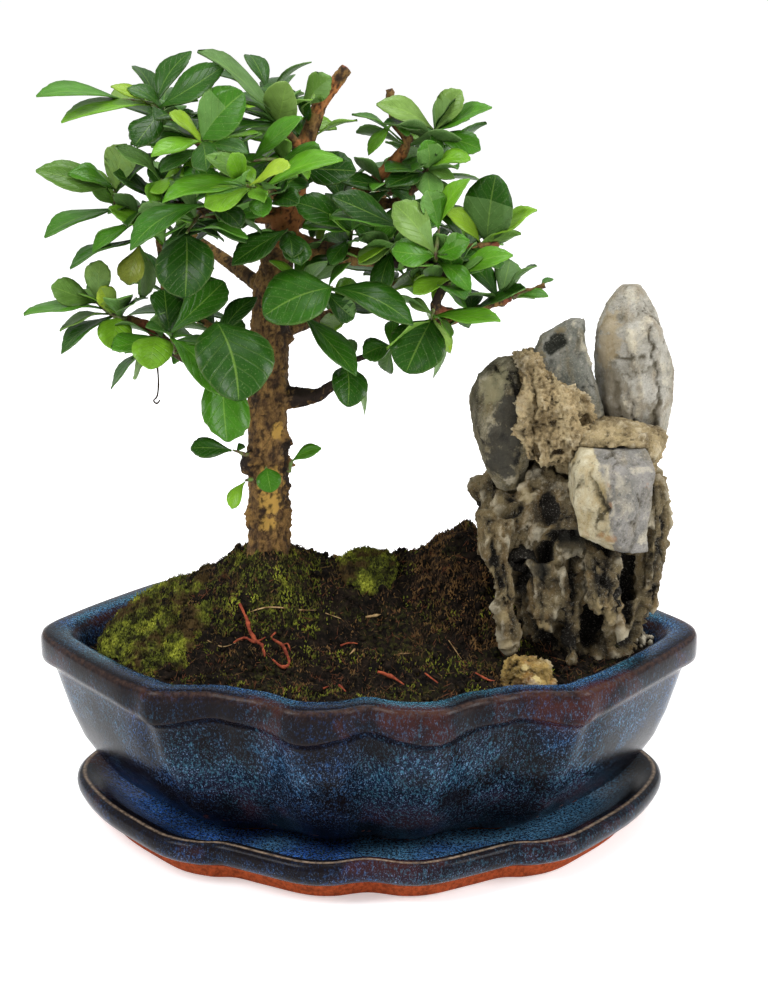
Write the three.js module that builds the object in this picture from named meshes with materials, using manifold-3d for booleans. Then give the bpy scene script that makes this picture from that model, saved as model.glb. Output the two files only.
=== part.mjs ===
// Fukien tea bonsai with its glazed pot, drip saucer and standing rock
// Millimetres, +Z up. The origin is on the table surface, under the middle of the saucer.
// The front, which has the trunk on the left and the rock on the right, faces -Y.

import * as THREE from 'three';
import Module from 'manifold-3d';
import { mergeVertices } from 'three/addons/utils/BufferGeometryUtils.js';

const wasm = await Module();
wasm.setup();

// Driving dimensions

const potHalfLength = 110;
const potHalfDepth = 77;
const potFootZ = 5.3;
const potFloorZ = 13.5;
const potRimZ = 65;
const drainHoleX = 30;
const drainHoleRadius = 6;
const saucerHalfLength = 99.5;
const saucerHalfDepth = 79;
const saucerFloorZ = 5;
const saucerLipZ = 15.2;
const soilEdgeZ = 59;
const screenSide = 22;
const screenThickness = 1.2;
const leafThickness = 0.9;
const twigRadius = 0.85;
const clearance = 0.3;

const degree = Math.PI / 180;

// Small vector helpers

const add = (a, b) => a.map((value, axis) => value + b[axis]);
const scale = (a, factor) => a.map((value) => value * factor);
const dot = (a, b) => a[0] * b[0] + a[1] * b[1] + a[2] * b[2];
const mix = (a, b, share) => a.map((value, axis) => value + (b[axis] - value) * share);
const cross = (a, b) => [
  a[1] * b[2] - a[2] * b[1],
  a[2] * b[0] - a[0] * b[2],
  a[0] * b[1] - a[1] * b[0],
];
const unit = (a) => scale(a, 1 / Math.hypot(...a));

// Repeatable random draws from 0 to 1

const drawModulus = 2147483647;
const drawFactor = 16807;

function draws(seed) {
  let state = seed;
  return () => {
    state = (state * drawFactor) % drawModulus;
    return state / drawModulus;
  };
}

// Solids made from points and triangles, and from stacked rings of points

function solid(points, triangles) {
  return new wasm.Manifold(new wasm.Mesh({
    numProp: 3,
    vertProperties: new Float32Array(points.flat()),
    triVerts: new Uint32Array(triangles.flat()),
  }));
}

function ringMiddle(ring) {
  return scale(ring.reduce(add), 1 / ring.length);
}

// Rings run anticlockwise seen from the far end of the stack
function loft(rings) {
  const count = rings[0].length;
  const points = rings.flat();
  const triangles = [];
  const first = points.push(ringMiddle(rings[0])) - 1;
  const last = points.push(ringMiddle(rings.at(-1))) - 1;
  const top = (rings.length - 1) * count;
  for (let i = 0; i < count; i += 1) {
    const j = (i + 1) % count;
    for (let k = 0; k + 1 < rings.length; k += 1) {
      const low = k * count;
      const high = low + count;
      triangles.push([low + i, low + j, high + j], [low + i, high + j, high + i]);
    }
    triangles.push([first, j, i], [last, top + i, top + j]);
  }
  return solid(points, triangles);
}

function fromGeometry(geometry) {
  const bare = geometry.clone();
  bare.deleteAttribute('normal');
  bare.deleteAttribute('uv');
  const merged = mergeVertices(bare, 1e-4);
  return new wasm.Manifold(new wasm.Mesh({
    numProp: 3,
    vertProperties: new Float32Array(merged.attributes.position.array),
    triVerts: new Uint32Array(merged.index.array),
  }));
}

function box(size, middle) {
  return fromGeometry(new THREE.BoxGeometry(...size).translate(...middle));
}

function join(solids) {
  return solids.reduce((whole, piece) => whole.add(piece));
}

// Only the largest body is kept, so no loose scrap is left after a cut
function largestBody(piece) {
  return piece.decompose().reduce((a, b) => (a.volume() > b.volume() ? a : b));
}

// Tubes with round sections of changing radius, for wood and twigs

function tube(stations, sides, grow = 0) {
  let side = null;
  const rings = stations.map(([x, y, z, radius], index) => {
    const before = stations[Math.max(index - 1, 0)];
    const after = stations[Math.min(index + 1, stations.length - 1)];
    const along = unit([0, 1, 2].map((axis) => after[axis] - before[axis]));
    const start = side ?? (Math.abs(along[2]) > 0.9 ? [1, 0, 0] : [0, 0, 1]);
    side = unit(add(start, scale(along, -dot(start, along))));
    const other = cross(along, side);
    const first = index === 0 ? grow : 0;
    const last = index === stations.length - 1 ? grow : 0;
    const middle = add([x, y, z], scale(along, last - first));
    return Array.from({ length: sides }, (_, step) => {
      const turn = (step / sides) * 2 * Math.PI;
      const across = scale(side, Math.cos(turn) * (radius + grow));
      return add(add(middle, across), scale(other, Math.sin(turn) * (radius + grow)));
    });
  });
  return loft(rings);
}

// Lobed outlines
// A quarter outline runs from the pointed end to the middle of a long side.
// The pot's third value says how far the lower edge of the rim band dips there.

const potQuarter = [
  [110, 0, 1.5], [101, 19, 0], [82, 45, 0], [73, 54, 1.5], [66, 60, 2.5], [50, 60.5, 0],
  [42, 64, 0], [33, 68, 0.5], [25, 75, 2], [18, 77, 2.5], [9, 76, 1], [0, 72, 0],
];
const saucerQuarter = [
  [99.5, 0], [97, 13], [88, 31], [76, 47], [66, 58], [56, 63], [47, 64], [36, 70], [22, 77.5],
  [12, 79], [0, 76],
];

function wholeOutline(quarter) {
  const back = quarter.slice(0, -1);
  const left = quarter.slice(1).reverse().map(([x, y, dip = 0]) => [-x, y, dip]);
  const front = quarter.slice(0, -1).map(([x, y, dip = 0]) => [-x, -y, dip]);
  const right = quarter.slice(1).reverse().map(([x, y, dip = 0]) => [x, -y, dip]);
  return [...back, ...left, ...front, ...right];
}

function insetRing(outline, halfLength, halfDepth, inset, z) {
  const narrow = 1 - inset / halfLength;
  const shallow = 1 - inset / halfDepth;
  return outline.map(([x, y]) => [x * narrow, y * shallow, z]);
}

// Saucer: one fired dish with a bare foot and a thick rounded lip

const saucerOutline = wholeOutline(saucerQuarter);
const saucerProfile = [
  [10, 0], [8.5, 4.5], [2, 7.5], [0, 12], [1.5, saucerLipZ - 0.4], [5, saucerLipZ], [10, 12.5],
  [15, 8.5], [24, saucerFloorZ],
];

function makeSaucer() {
  return loft(saucerProfile.map(([inset, z]) => (
    insetRing(saucerOutline, saucerHalfLength, saucerHalfDepth, inset, z))));
}

// Pot: one fired shell with a rim band, two drainage holes and four low feet

const potOutline = wholeOutline(potQuarter);
const footInset = 38;
const footWidth = 7;
const footRecessZ = 8;
const innerWall = [[13, 62], [26, 26], [36.5, potFloorZ]];
const potProfile = [
  [footInset + footWidth, footRecessZ, 0], [footInset + footWidth, potFootZ, 0],
  [footInset, potFootZ, 0], [24, 13.5, 0], [13, 28, 0], [4.5, 54, 1], [0, 56, 1],
  [0, 63, 0], [2.5, potRimZ, 0], [10, potRimZ, 0],
  ...innerWall.map(([inset, z]) => [inset, z, 0]),
];

function makePot() {
  const shell = loft(potProfile.map(([inset, z, dips]) => {
    const ring = insetRing(potOutline, potHalfLength, potHalfDepth, inset, z);
    return ring.map(([x, y, height], index) => [x, y, height - dips * potOutline[index][2]]);
  }));
  const drains = [-drainHoleX, drainHoleX].map((x) => fromGeometry(
    new THREE.CylinderGeometry(drainHoleRadius, drainHoleRadius, 2 * potFloorZ, 12)
      .rotateX(Math.PI / 2).translate(x, 0, potFloorZ)));
  const archHeight = 2;
  const archZ = potFootZ + archHeight / 2 - 0.5;
  const endArch = box([2 * potHalfLength, 20, archHeight + 1], [0, 0, archZ]);
  const sideArch = box([34, 2 * potHalfDepth, archHeight + 1], [0, 0, archZ]);
  return [...drains, endArch, sideArch].reduce((piece, cutter) => piece.subtract(cutter), shell);
}

// Drain screens: square plastic meshes that lie over the holes and keep the soil in

const screenZ = potFloorZ + clearance;
const screenBars = 3;
const screenBarWidth = 3;

function makeScreen(x) {
  const pitch = (screenSide - screenBarWidth) / (screenBars - 1);
  const middleZ = screenZ + screenThickness / 2;
  const bars = [];
  for (let index = 0; index < screenBars; index += 1) {
    const offset = index * pitch - (screenSide - screenBarWidth) / 2;
    bars.push(box([screenSide, screenBarWidth, screenThickness], [x, offset, middleZ]));
    bars.push(box([screenBarWidth, screenSide, screenThickness], [x + offset, 0, middleZ]));
  }
  return join(bars);
}

// Soil: a mounded root ball that fills the pot, highest round the trunk and by the rock
// Each mound is middle x and y, height, and how far it spreads along x and y.

const mounds = [
  [-33, 4, 28, 22, 30],
  [-66, 4, 17, 26, 30],
  [5, 8, 24, 26, 32],
  [36, 14, 30, 18, 26],
  [72, 4, 5, 24, 30],
];

function soilHeight(x, y) {
  const heaped = mounds.map(([middleX, middleY, height, spreadX, spreadY]) => (
    height * Math.exp(-(((x - middleX) / spreadX) ** 2) - ((y - middleY) / spreadY) ** 2)));
  return soilEdgeZ + heaped.reduce((sum, value) => sum + value);
}

const mossInset = 17;
const soilShares = [0.88, 0.7, 0.52, 0.34, 0.15];

function makeSoil() {
  const outline = wholeOutline(potQuarter.filter((_, index) => ![3, 6, 8, 10].includes(index)));
  const snug = 0.5;
  const walls = [...innerWall].reverse().slice(0, -1).map(([inset, z]) => [inset + snug, z + 0.4]);
  const edge = innerWall[0][0] + snug + (innerWall[0][1] - soilEdgeZ) * 0.35;
  const rings = [...walls, [edge, soilEdgeZ]].map(([inset, z]) => (
    insetRing(outline, potHalfLength, potHalfDepth, inset, z)));
  const rim = rings.at(-1);
  for (const share of soilShares) {
    rings.push(rim.map(([x, y]) => {
      const fade = 1 - share ** 8;
      const height = soilEdgeZ + (soilHeight(x * share, y * share) - soilEdgeZ) * fade;
      return [x * share, y * share, height];
    }));
  }
  return loft(rings);
}

// Moss: low living mats that lie on the soil, cut to fit it underneath
// Each mat is middle x and y, half width along x and y, thickness and seed.

function makeMoss([middleX, middleY, halfX, halfY, thickness, seed], soil) {
  const random = draws(seed);
  const around = 10;
  const reach = Array.from({ length: around }, () => 0.82 + 0.18 * random());
  const ring = (share, rise) => reach.map((extent, step) => {
    const turn = (step / around) * 2 * Math.PI;
    const x = middleX + Math.cos(turn) * halfX * extent * share;
    const y = middleY + Math.sin(turn) * halfY * extent * share;
    return [x, y, rise === null ? soilEdgeZ - 10 : soilHeight(x, y) + rise];
  });
  const mat = loft([
    ring(1, null), ring(1, 0.9), ring(0.88, thickness * 0.8), ring(0.6, thickness),
    ring(0.3, thickness),
  ]);
  const insidePot = loft([soilEdgeZ - 2, soilEdgeZ + 40].map((z) => (
    insetRing(potOutline, potHalfLength, potHalfDepth, mossInset, z))));
  return largestBody(mat.intersect(insidePot).subtract(soil.translate([0, 0, clearance])));
}

// Wood: the trunk with its cut leader, and the branches that grow out of it
// Stations are x, y, z and radius.

const trunkStations = [
  [-33, 0, 64, 8.4], [-33, 0, 86, 8.2], [-33, 0, 96, 7.2], [-33, 0, 112, 6.8],
  [-33, 0, 140, 6.7], [-32, 0, 162, 6.6], [-31, 0, 180, 6.3], [-28, 0.5, 193, 4.9],
  [-24, 1, 205, 3.8], [-21, 2, 222, 3.1], [-15, 3, 238, 2.5], [-6.5, 3, 249, 2.3],
];

const branches = {
  rightMain: [
    [-27, 0, 195, 4.6], [-16, -3, 192, 4.2], [-7, -5, 191, 3.6], [7, -9, 190, 2.8],
    [21, -12, 190, 2.3], [25, -10, 184, 2.1], [21, -9, 176, 1.9], [21, -9, 171, 1.6],
  ],
  rightTwigOut: [[21, -9, 175, 1.7], [32, -5, 172, 1.5], [42, -3, 176, 1.6], [46, -2, 177, 1.7]],
  rightTop: [[21, -12, 190, 2], [32, 0, 193, 1.7], [42, 4, 193, 1.6]],
  rightBack: [[7, -9, 190, 2], [18, 8, 186, 1.7], [28, 21, 186, 1.4]],
  uprightOuter: [
    [-23, 1, 203, 3], [-9, 4, 206, 2.8], [2, 6, 213, 2.5], [11, 8, 222, 2.3],
    [13, 9, 226, 2.2], [8, 9, 231, 1.6], [6, 9, 241, 1.2],
  ],
  uprightInner: [
    [-9, 4, 206, 2.4], [9, 6, 206, 2.2], [16, 8, 212, 2], [20, 9, 218, 1.6], [20, 10, 223, 1.4],
  ],
  upperMiddle: [[-21, 2, 223, 2.2], [-24, -2, 228, 1.8], [-27, -3, 231, 1.5]],
  upperLeft: [
    [-23, 0, 211, 3], [-35, -6, 217, 2.6], [-47, -10, 223, 2.2], [-57, -6, 232, 1.9],
    [-63, -5, 236, 1.5],
  ],
  upperLeftBack: [[-47, -10, 223, 1.8], [-56, 4, 227, 1.6], [-62, 13, 230, 1.4]],
  leftUpper: [
    [-25, 0, 202, 3.6], [-41, 2, 204, 3.1], [-57, 3, 204, 2.7], [-67, 0, 207, 2.6],
    [-73, 2, 203, 2.9], [-78, 1, 206, 2.2],
  ],
  leftHanging: [[-67, 0, 206, 2.2], [-65, -7, 193, 2.1], [-64, -10, 179, 2], [-64, -12, 171, 1.9]],
  leftLower: [
    [-34, -2, 150, 3.2], [-46, -8, 154, 2.8], [-58, -13, 160, 2.6], [-64, -12, 164, 2.4],
    [-70, -12, 170, 2.2], [-77, -11, 172, 1.8],
  ],
  frontUpper: [[-25, -2, 207, 2.6], [-29, -22, 213, 1.7]],
  frontLong: [[-41, 2, 204, 2.4], [-45, -10, 206, 1.7], [-46, -18, 207, 1.4]],
  frontOval: [[-50, 2, 204, 2.2], [-52, -18, 206, 1.5]],
  burl: [[-35, 0, 121, 5], [-39, -3, 122, 4.4], [-39, -6, 125, 2.2]],
  stubRight: [
    [-29, 0, 144, 4.6], [-22, -1, 144, 3.8], [-16, -2, 145, 2.6], [-10, -4, 150, 1.9],
    [-6, -6, 157, 1.5], [3, -6, 160, 1.2],
  ],
  backLeft: [[-32, 3, 178, 3.2], [-45, 20, 184, 2.6], [-58, 36, 190, 2], [-64, 44, 195, 1.5]],
  backMiddle: [[-30, 3, 190, 3], [-32, 22, 197, 2.4], [-36, 42, 203, 1.8], [-37, 50, 206, 1.4]],
  backRight: [[-24, 3, 200, 2.8], [-8, 20, 203, 2.3], [8, 36, 206, 1.8], [15, 43, 208, 1.4]],
  backTop: [[-21, 3, 220, 2.4], [-26, 18, 228, 1.8], [-29, 25, 231, 1.4]],
  backLowRight: [[-28, 3, 165, 2.8], [-12, 18, 168, 2.2], [4, 32, 173, 1.7], [9, 37, 175, 1.4]],
  backLowLeft: [[-36, 3, 158, 2.8], [-50, 16, 162, 2.2], [-58, 24, 166, 1.6]],
};

const thinBranch = 2.5;

function makeWood(grow) {
  const trunk = tube(trunkStations, 9, grow);
  const limbs = Object.values(branches).map((stations) => (
    tube(stations, stations[0][3] < thinBranch ? 4 : 5, grow)));
  return join([trunk, ...limbs]);
}

// Leaves
// A blade is spoon-shaped, narrow at its stalk and widest near its end, and a full-grown one
// has a small notch on each side of the tip. It is arched along its length and folded up a
// little at the midrib.

const bladeStations = [[0.28, 0.5], [0.58, 1], [0.84, 0.88]];
const bladeNotch = [0.9, 0.42];
const bladeArch = 0.06;
const bladeFold = 0.2;
const notchedLength = 16;
const stalkStart = 0.3;

function makeBlade(base, [, heading, lift, length, width, roll], grow = 0) {
  const turn = heading * degree;
  const rise = lift * degree;
  const lean = roll * degree;
  const forward = [
    Math.cos(rise) * Math.cos(turn), Math.cos(rise) * Math.sin(turn), Math.sin(rise),
  ];
  const level = [-Math.sin(turn), Math.cos(turn), 0];
  const upward = cross(forward, level);
  const normal = add(scale(upward, Math.cos(lean)), scale(level, Math.sin(lean)));
  const lateral = cross(normal, forward);
  const halfWidth = width / 2 + grow;
  const halfThickness = leafThickness / 2 + grow;
  const point = (along, across, offset) => {
    const bow = 4 * bladeArch * length * along * (1 - along);
    const height = bow + bladeFold * Math.abs(across) * halfWidth + offset * halfThickness;
    const onMidrib = add(base, scale(forward, stalkStart + along * (length + grow)));
    return add(add(onMidrib, scale(lateral, across * halfWidth)), scale(normal, height));
  };
  const points = [point(0, 0, 1), point(0, 0, -1)];
  const place = (...values) => points.push(point(...values)) - 1;
  const rows = bladeStations.map(([along, across]) => ({
    left: place(along, across, 0),
    right: place(along, -across, 0),
    top: place(along, 0, 1),
    under: place(along, 0, -1),
  }));
  const end = rows.at(-1);
  const edges = length > notchedLength ? [bladeNotch] : [];
  const tip = place(1, 0, 0);
  const leftEdge = [end.left, ...edges.map(([u, v]) => place(u, v, 0)), tip];
  const rightEdge = [end.right, ...edges.map(([u, v]) => place(u, -v, 0)), tip];
  const triangles = [[0, 1, rows[0].right], [1, 0, rows[0].left]];
  for (const [face, root, flip] of [['top', 0, false], ['under', 1, true]]) {
    const addFace = (a, b, c) => triangles.push(flip ? [a, c, b] : [a, b, c]);
    addFace(root, rows[0].right, rows[0][face]);
    addFace(root, rows[0][face], rows[0].left);
    for (let k = 0; k + 1 < rows.length; k += 1) {
      const near = rows[k];
      const far = rows[k + 1];
      addFace(near.right, far.right, far[face]);
      addFace(near.right, far[face], near[face]);
      addFace(near[face], far[face], far.left);
      addFace(near[face], far.left, near.left);
    }
    for (let k = 0; k + 1 < leftEdge.length; k += 1) {
      addFace(end[face], rightEdge[k], rightEdge[k + 1]);
      addFace(end[face], leftEdge[k + 1], leftEdge[k]);
    }
  }
  return solid(points, triangles);
}

function twigPoint(twig, along) {
  const start = Math.min(Math.floor(along), twig.length - 2);
  return mix(twig[start], twig[start + 1], along - start);
}

function boxesApart(a, b) {
  return [0, 1, 2].some((axis) => a.min[axis] > b.max[axis] || b.min[axis] > a.max[axis]);
}

function sharedVolume(piece, other) {
  if (boxesApart(piece.boundingBox(), other.boundingBox())) return 0;
  return piece.intersect(other).volume();
}

// A leaf that would cross another shoot is lifted, swung or shortened until it is clear.
// Each try is a change of heading and of lift in degrees, and a share of the length.

const leafTries = [
  [0, 0, 1], [0, 10, 1], [0, -10, 1], [14, 0, 1], [-14, 0, 1], [0, 20, 1], [0, -20, 1],
  [28, 0, 1], [-28, 0, 1], [20, 16, 0.9], [-20, -16, 0.9], [20, -16, 0.85], [-20, 16, 0.85],
  [0, 32, 0.8], [0, -32, 0.8], [45, 0, 0.8], [-45, 0, 0.8], [0, 0, 0.6], [60, 30, 0.7],
  [-60, 30, 0.7],
];
const roomBetweenShoots = 0.2;
const sharedAtStalk = 2.5;

function placeBlade(twig, row, neighbours, siblings, wood) {
  const [along, heading, lift, length, width, roll] = row;
  const base = twigPoint(twig, along);
  for (const [swing, raise, share] of leafTries) {
    const tried = [along, heading + swing, lift + raise, length * share, width * share, roll];
    const roomy = makeBlade(base, tried, roomBetweenShoots);
    const clear = neighbours.every((other) => sharedVolume(roomy, other) < 1e-4)
      && siblings.every((other) => sharedVolume(roomy, other) < sharedAtStalk)
      && sharedVolume(roomy, wood) < sharedAtStalk;
    if (clear) return makeBlade(base, tried);
  }
  return null;
}

function makeTwig(twig) {
  const tip = twig.at(-1);
  const past = add(tip, scale(unit(add(tip, scale(twig.at(-2), -1))), twigRadius));
  const points = [...twig.slice(0, -1), past];
  return tube(points.map((point, index) => {
    const taper = 1.2 - 0.4 * (index / (points.length - 1));
    return [...point, twigRadius * taper];
  }), 4);
}

function makeShoot({ twig, leaves }, neighbours, wood, grownWood) {
  const blades = [];
  for (const row of leaves) {
    const blade = placeBlade(twig, row, neighbours, blades, wood);
    if (blade) blades.push(blade);
  }
  return largestBody(join([makeTwig(twig), ...blades]).subtract(grownWood));
}

// Shoots that the front shows, each with its own twig and leaves
// A leaf is its place along the twig's points, heading, lift, length, width and roll.
// Headings are degrees anticlockwise from +X, seen from above, and -90 is towards the front.

const frontShoots = [
  { name: 'upper_left', twig: [[-57, -6, 232], [-66, -5, 238], [-76, -6, 240]], leaves: [
    [2, -150, 5, 28, 13, 15], [1.1, -150, -5, 30, 14, 10], [1.2, -155, 30, 13, 6, 35],
    [1.5, 145, 10, 12, 6, 55], [1, 40, 50, 21, 10, -15], [0.9, -15, 30, 26, 12, -55],
    [0.8, -110, -25, 20, 10, 20],
  ] },
  { name: 'upper_front', twig: [[-46, -11, 223], [-50, -28, 230]], leaves: [
    [1, -20, 45, 20, 15, -80], [0.9, -145, -10, 18, 8, 25], [0.8, -30, -40, 15, 7, -20],
    [0.7, -45, 0, 18, 8, -20], [0.6, -155, 40, 16, 8, 35],
  ] },
  { name: 'upper_middle', twig: [[-24, -2, 228], [-29, -4, 234]], leaves: [
    [0.8, -75, 50, 16, 12, -140], [1, -155, 35, 32, 15, 30], [0.9, 145, 30, 16, 8, 5],
    [0.7, -155, -5, 22, 11, 15], [0.6, 150, 20, 14, 7, 10],
  ] },
  { name: 'top_leader', twig: [[-18, 3, 230], [-21, 4, 238]], leaves: [
    [1, 160, 20, 14, 7, 25], [0.9, -35, 40, 14, 9, -90], [0.4, -20, 5, 18, 9, -50],
    [0.2, -20, -10, 19, 9, -15], [0.3, -75, 30, 12, 6, -130],
  ] },
  { name: 'top_centre', twig: [[-23, 0, 217], [-29, -12, 222], [-36, -16, 222]], leaves: [
    [2, -20, 40, 22, 10, -45], [0.3, -20, 0, 22, 11, -60], [0.8, -30, 15, 16, 8, -40],
    [1.3, -95, -20, 14, 7, -5],
  ] },
  { name: 'bright_front', twig: [[-29, -22, 213], [-37, -40, 218]], leaves: [
    [1, -115, 55, 12, 7, 120], [0.9, -155, 40, 15, 7, 60], [0.8, -30, 25, 16, 8, -35],
    [0.4, -15, 25, 27, 13, -25], [0.7, -150, -15, 16, 8, 55], [0.6, -75, -10, 13, 6, -10],
    [0.5, -155, 0, 30, 14, 15], [0.2, -95, -25, 13, 7, -5],
  ] },
  { name: 'long_left', twig: [[-45, -10, 206], [-49, -30, 211]], leaves: [
    [1, -145, -20, 28, 13, 15], [0.8, -50, -15, 16, 8, -15], [0.9, 70, -35, 14, 7, -80],
  ] },
  { name: 'left_mid', twig: [[-69, 0, 203], [-73, -8, 202], [-72, -8, 195]], leaves: [
    [1, -145, -25, 17, 8, 10], [1.8, -150, -15, 24, 11, 0], [2, -115, -55, 13, 9, 10],
    [1.9, 60, -80, 18, 9, -95],
  ] },
  { name: 'left_upper', twig: [[-72, 2, 204], [-80, 0, 205], [-80, 0, 212]], leaves: [
    [2, -155, 15, 26, 12, 45], [1.9, -155, 25, 17, 8, 45], [1.8, -40, 70, 16, 11, -110],
    [1.7, -15, 45, 19, 9, -40], [1.2, -155, 40, 11, 5, 75], [1, -150, -15, 25, 12, 10],
  ] },
  { name: 'left_bud', twig: [[-66, -1, 207], [-64, -12, 216]], leaves: [
    [1, -85, -20, 9, 9, -20], [0.9, -15, 25, 9, 4, -70], [0.6, 130, 50, 9, 4, 15],
  ] },
  { name: 'lower_left', twig: [[-76, -12, 172], [-81, -10, 173], [-86, -10, 177]], leaves: [
    [2, -155, 25, 15, 9, 65], [1.9, -55, 80, 14, 9, -130], [1.6, -150, 0, 26, 12, 5],
    [1.2, -150, -10, 17, 8, 0], [1, -120, 60, 11, 7, 110], [0.9, -145, -25, 21, 10, 5],
    [0.6, -95, -45, 12, 11, 10],
  ] },
  { name: 'left_round', twig: [[-63, -12, 164], [-66, -19, 168]], leaves: [
    [1, -95, -30, 14, 13, 5], [0.6, -140, -35, 23, 11, -20], [0.4, 170, -50, 16, 8, 25],
  ] },
  { name: 'oval_front', twig: [[-52, -18, 206], [-55, -30, 202]], leaves: [
    [1, -90, -60, 20, 19, -15], [0.8, -25, 0, 20, 9, 0], [0.9, 140, -40, 16, 8, 65],
  ] },
  { name: 'giant_front', twig: [[-61, -13, 161], [-61, -30, 171]], leaves: [
    [1, 35, 35, 24, 12, -40], [0.9, -30, -35, 28, 13, -30], [0.8, 105, 60, 16, 11, -15],
  ] },
  { name: 'giant_leaf', twig: [[-45, -9, 155], [-45, -26, 165], [-46, -36, 176]], leaves: [
    [2, -65, -45, 27, 25, 0], [0.8, -85, -55, 29, 16, 20], [1.4, 40, 40, 18, 8, -20],
  ] },
  { name: 'trunk_front', twig: [[-27, -4, 180], [-11, -22, 184]], leaves: [
    [1, -150, -15, 24, 18, 50], [0.9, -25, -15, 30, 14, -25], [0.8, 15, -45, 14, 8, -70],
  ] },
  { name: 'dark_inner', twig: [[-27, -3, 195], [-25, -16, 201]], leaves: [
    [1, -150, -25, 21, 10, 35], [0.9, -70, -30, 16, 9, -5], [0.6, 135, -20, 12, 6, 75],
  ] },
  { name: 'trunk_long', twig: [[-27, -2, 170], [-21, -8, 173]], leaves: [
    [1, -35, -40, 27, 13, -5],
  ] },
  { name: 'lower_right', twig: [[-9, -4, 152], [-7, -11, 157]], leaves: [
    [0.2, -160, 20, 13, 8, 60], [1, -85, -40, 15, 12, 15], [0.2, -135, -40, 19, 9, 25],
    [0.8, 15, -65, 17, 8, -30], [0.9, 75, 60, 9, 6, 5],
  ] },
  { name: 'right_low_back', twig: [[3, -6, 160], [8, -6, 162]], leaves: [
    [1, -140, -5, 12, 8, 50], [0.9, 105, -50, 12, 6, 135], [0.8, 85, 50, 10, 5, 15],
  ] },
  { name: 'round_right', twig: [[21, -9, 176], [20, -12, 172]], leaves: [
    [1, -130, -50, 19, 18, 30], [0.8, -25, 0, 23, 11, -15], [0.9, 15, -60, 13, 6, -55],
    [0.7, 55, -80, 21, 10, -80], [0.6, 155, 25, 9, 4, 45],
  ] },
  { name: 'far_right', twig: [[46, -2, 177], [51, -2, 179], [56, -1, 181]], leaves: [
    [0.2, -25, 5, 11, 5, -25], [1.8, 50, 15, 7, 3, -5],
  ] },
  { name: 'right_top', twig: [[32, 0, 193], [38, 4, 194]], leaves: [
    [1, -75, 75, 22, 17, -140], [0.9, -20, 35, 20, 9, -35], [0.8, 30, 40, 14, 7, -20],
    [0.7, -160, 45, 17, 8, 55], [0.6, -25, -10, 25, 12, -30],
  ] },
  { name: 'right_stem', twig: [[25, -10, 183], [27, -15, 186]], leaves: [
    [1, -20, 25, 20, 9, -40], [0.8, -155, -15, 14, 7, 30], [0.9, 40, 15, 12, 6, -30],
  ] },
  { name: 'right_front', twig: [[21, -12, 190], [21, -20, 194], [22, -18, 202]], leaves: [
    [1, -160, 50, 21, 11, 80], [0.9, -150, 10, 15, 9, 65], [0.8, -45, 25, 14, 8, -80],
    [2, -30, 60, 18, 8, -60], [1.9, -140, 70, 13, 9, 105],
  ] },
  { name: 'right_inner', twig: [[8, -8, 193], [9, -12, 197], [10, -12, 201]], leaves: [
    [2, -160, 25, 25, 12, 50], [1.8, -155, 15, 24, 11, 20], [0.5, -145, -15, 14, 7, 30],
    [0.2, -115, -55, 16, 8, 5], [1.9, 25, 15, 14, 7, -50],
  ] },
  { name: 'right_inner_low', twig: [[-6, -6, 194], [-5, -12, 200]], leaves: [
    [1, -160, 30, 20, 10, 65], [0.9, -160, 10, 16, 8, 25], [0.5, -125, -30, 12, 6, 25],
    [0.6, 50, -35, 14, 7, -70],
  ] },
  { name: 'right_upright', twig: [[4, 5, 213], [7, 0, 211]], leaves: [
    [1, -160, 15, 17, 8, 35], [0.9, 165, -30, 15, 7, 45], [0.8, 35, -25, 10, 5, -65],
  ] },
  { name: 'right_crown', twig: [[20, 10, 223], [21, 10, 229]], leaves: [
    [1, -160, 25, 21, 10, 50], [0.9, -30, 55, 16, 9, -90], [0.8, -20, 25, 21, 10, -30],
    [0.7, -25, -10, 16, 8, -50], [0.6, -160, 20, 19, 9, 25], [0.5, 160, 5, 13, 6, 40],
  ] },
  { name: 'right_stub', twig: [[8, 9, 231], [7, 4, 233]], leaves: [
    [0.2, -145, -45, 13, 6, 10], [1, 20, -25, 8, 4, -65],
  ] },
  { name: 'right_neck', twig: [[18, 7, 214], [19, 1, 218]], leaves: [
    [1, -100, 70, 9, 9, 150], [0.9, -20, 20, 14, 7, -35], [0.8, -25, -10, 9, 4, -55],
    [0.7, -80, -50, 10, 9, 5], [0.3, 160, -5, 11, 5, 30],
  ] },
  { name: 'trunk_low_left', twig: [[-39, -6, 126], [-44, -7, 128]], leaves: [
    [1, -155, 10, 14, 7, 55], [0.8, 55, 20, 7, 4, -30],
  ] },
  { name: 'trunk_low_bud', twig: [[-38, -6, 118], [-40, -8, 118]], leaves: [
    [1, -125, -45, 10, 5, 20],
  ] },
  { name: 'trunk_low_front', twig: [[-34, -5, 119], [-33, -10, 123]], leaves: [
    [1, -70, -55, 8, 8, -15],
  ] },
  { name: 'trunk_low_right', twig: [[-26, -4, 120], [-25, -5, 124]], leaves: [
    [1, -15, 25, 11, 5, -50],
  ] },
];

// Shoots on the far side, with leaves set round the twig by the golden angle

const goldenAngle = 137.5;
const backLeafCount = 7;
const backShoots = [
  ['back_left', [[-58, 36, 190], [-66, 46, 196], [-70, 50, 202]], 11],
  ['back_middle', [[-36, 42, 203], [-38, 52, 208], [-40, 57, 214]], 23],
  ['back_right', [[8, 36, 206], [18, 44, 210], [23, 48, 215]], 37],
  ['back_top', [[-26, 18, 228], [-31, 27, 233], [-33, 32, 239]], 41],
  ['back_low_right', [[4, 32, 173], [12, 40, 177], [18, 45, 182]], 53],
  ['back_low_left', [[-50, 16, 162], [-61, 27, 167], [-67, 32, 173]], 67],
  ['right_back', [[18, 8, 186], [30, 23, 187], [36, 28, 191]], 79],
  ['upper_left_back', [[-56, 4, 227], [-64, 15, 231], [-68, 20, 236]], 83],
];

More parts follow.
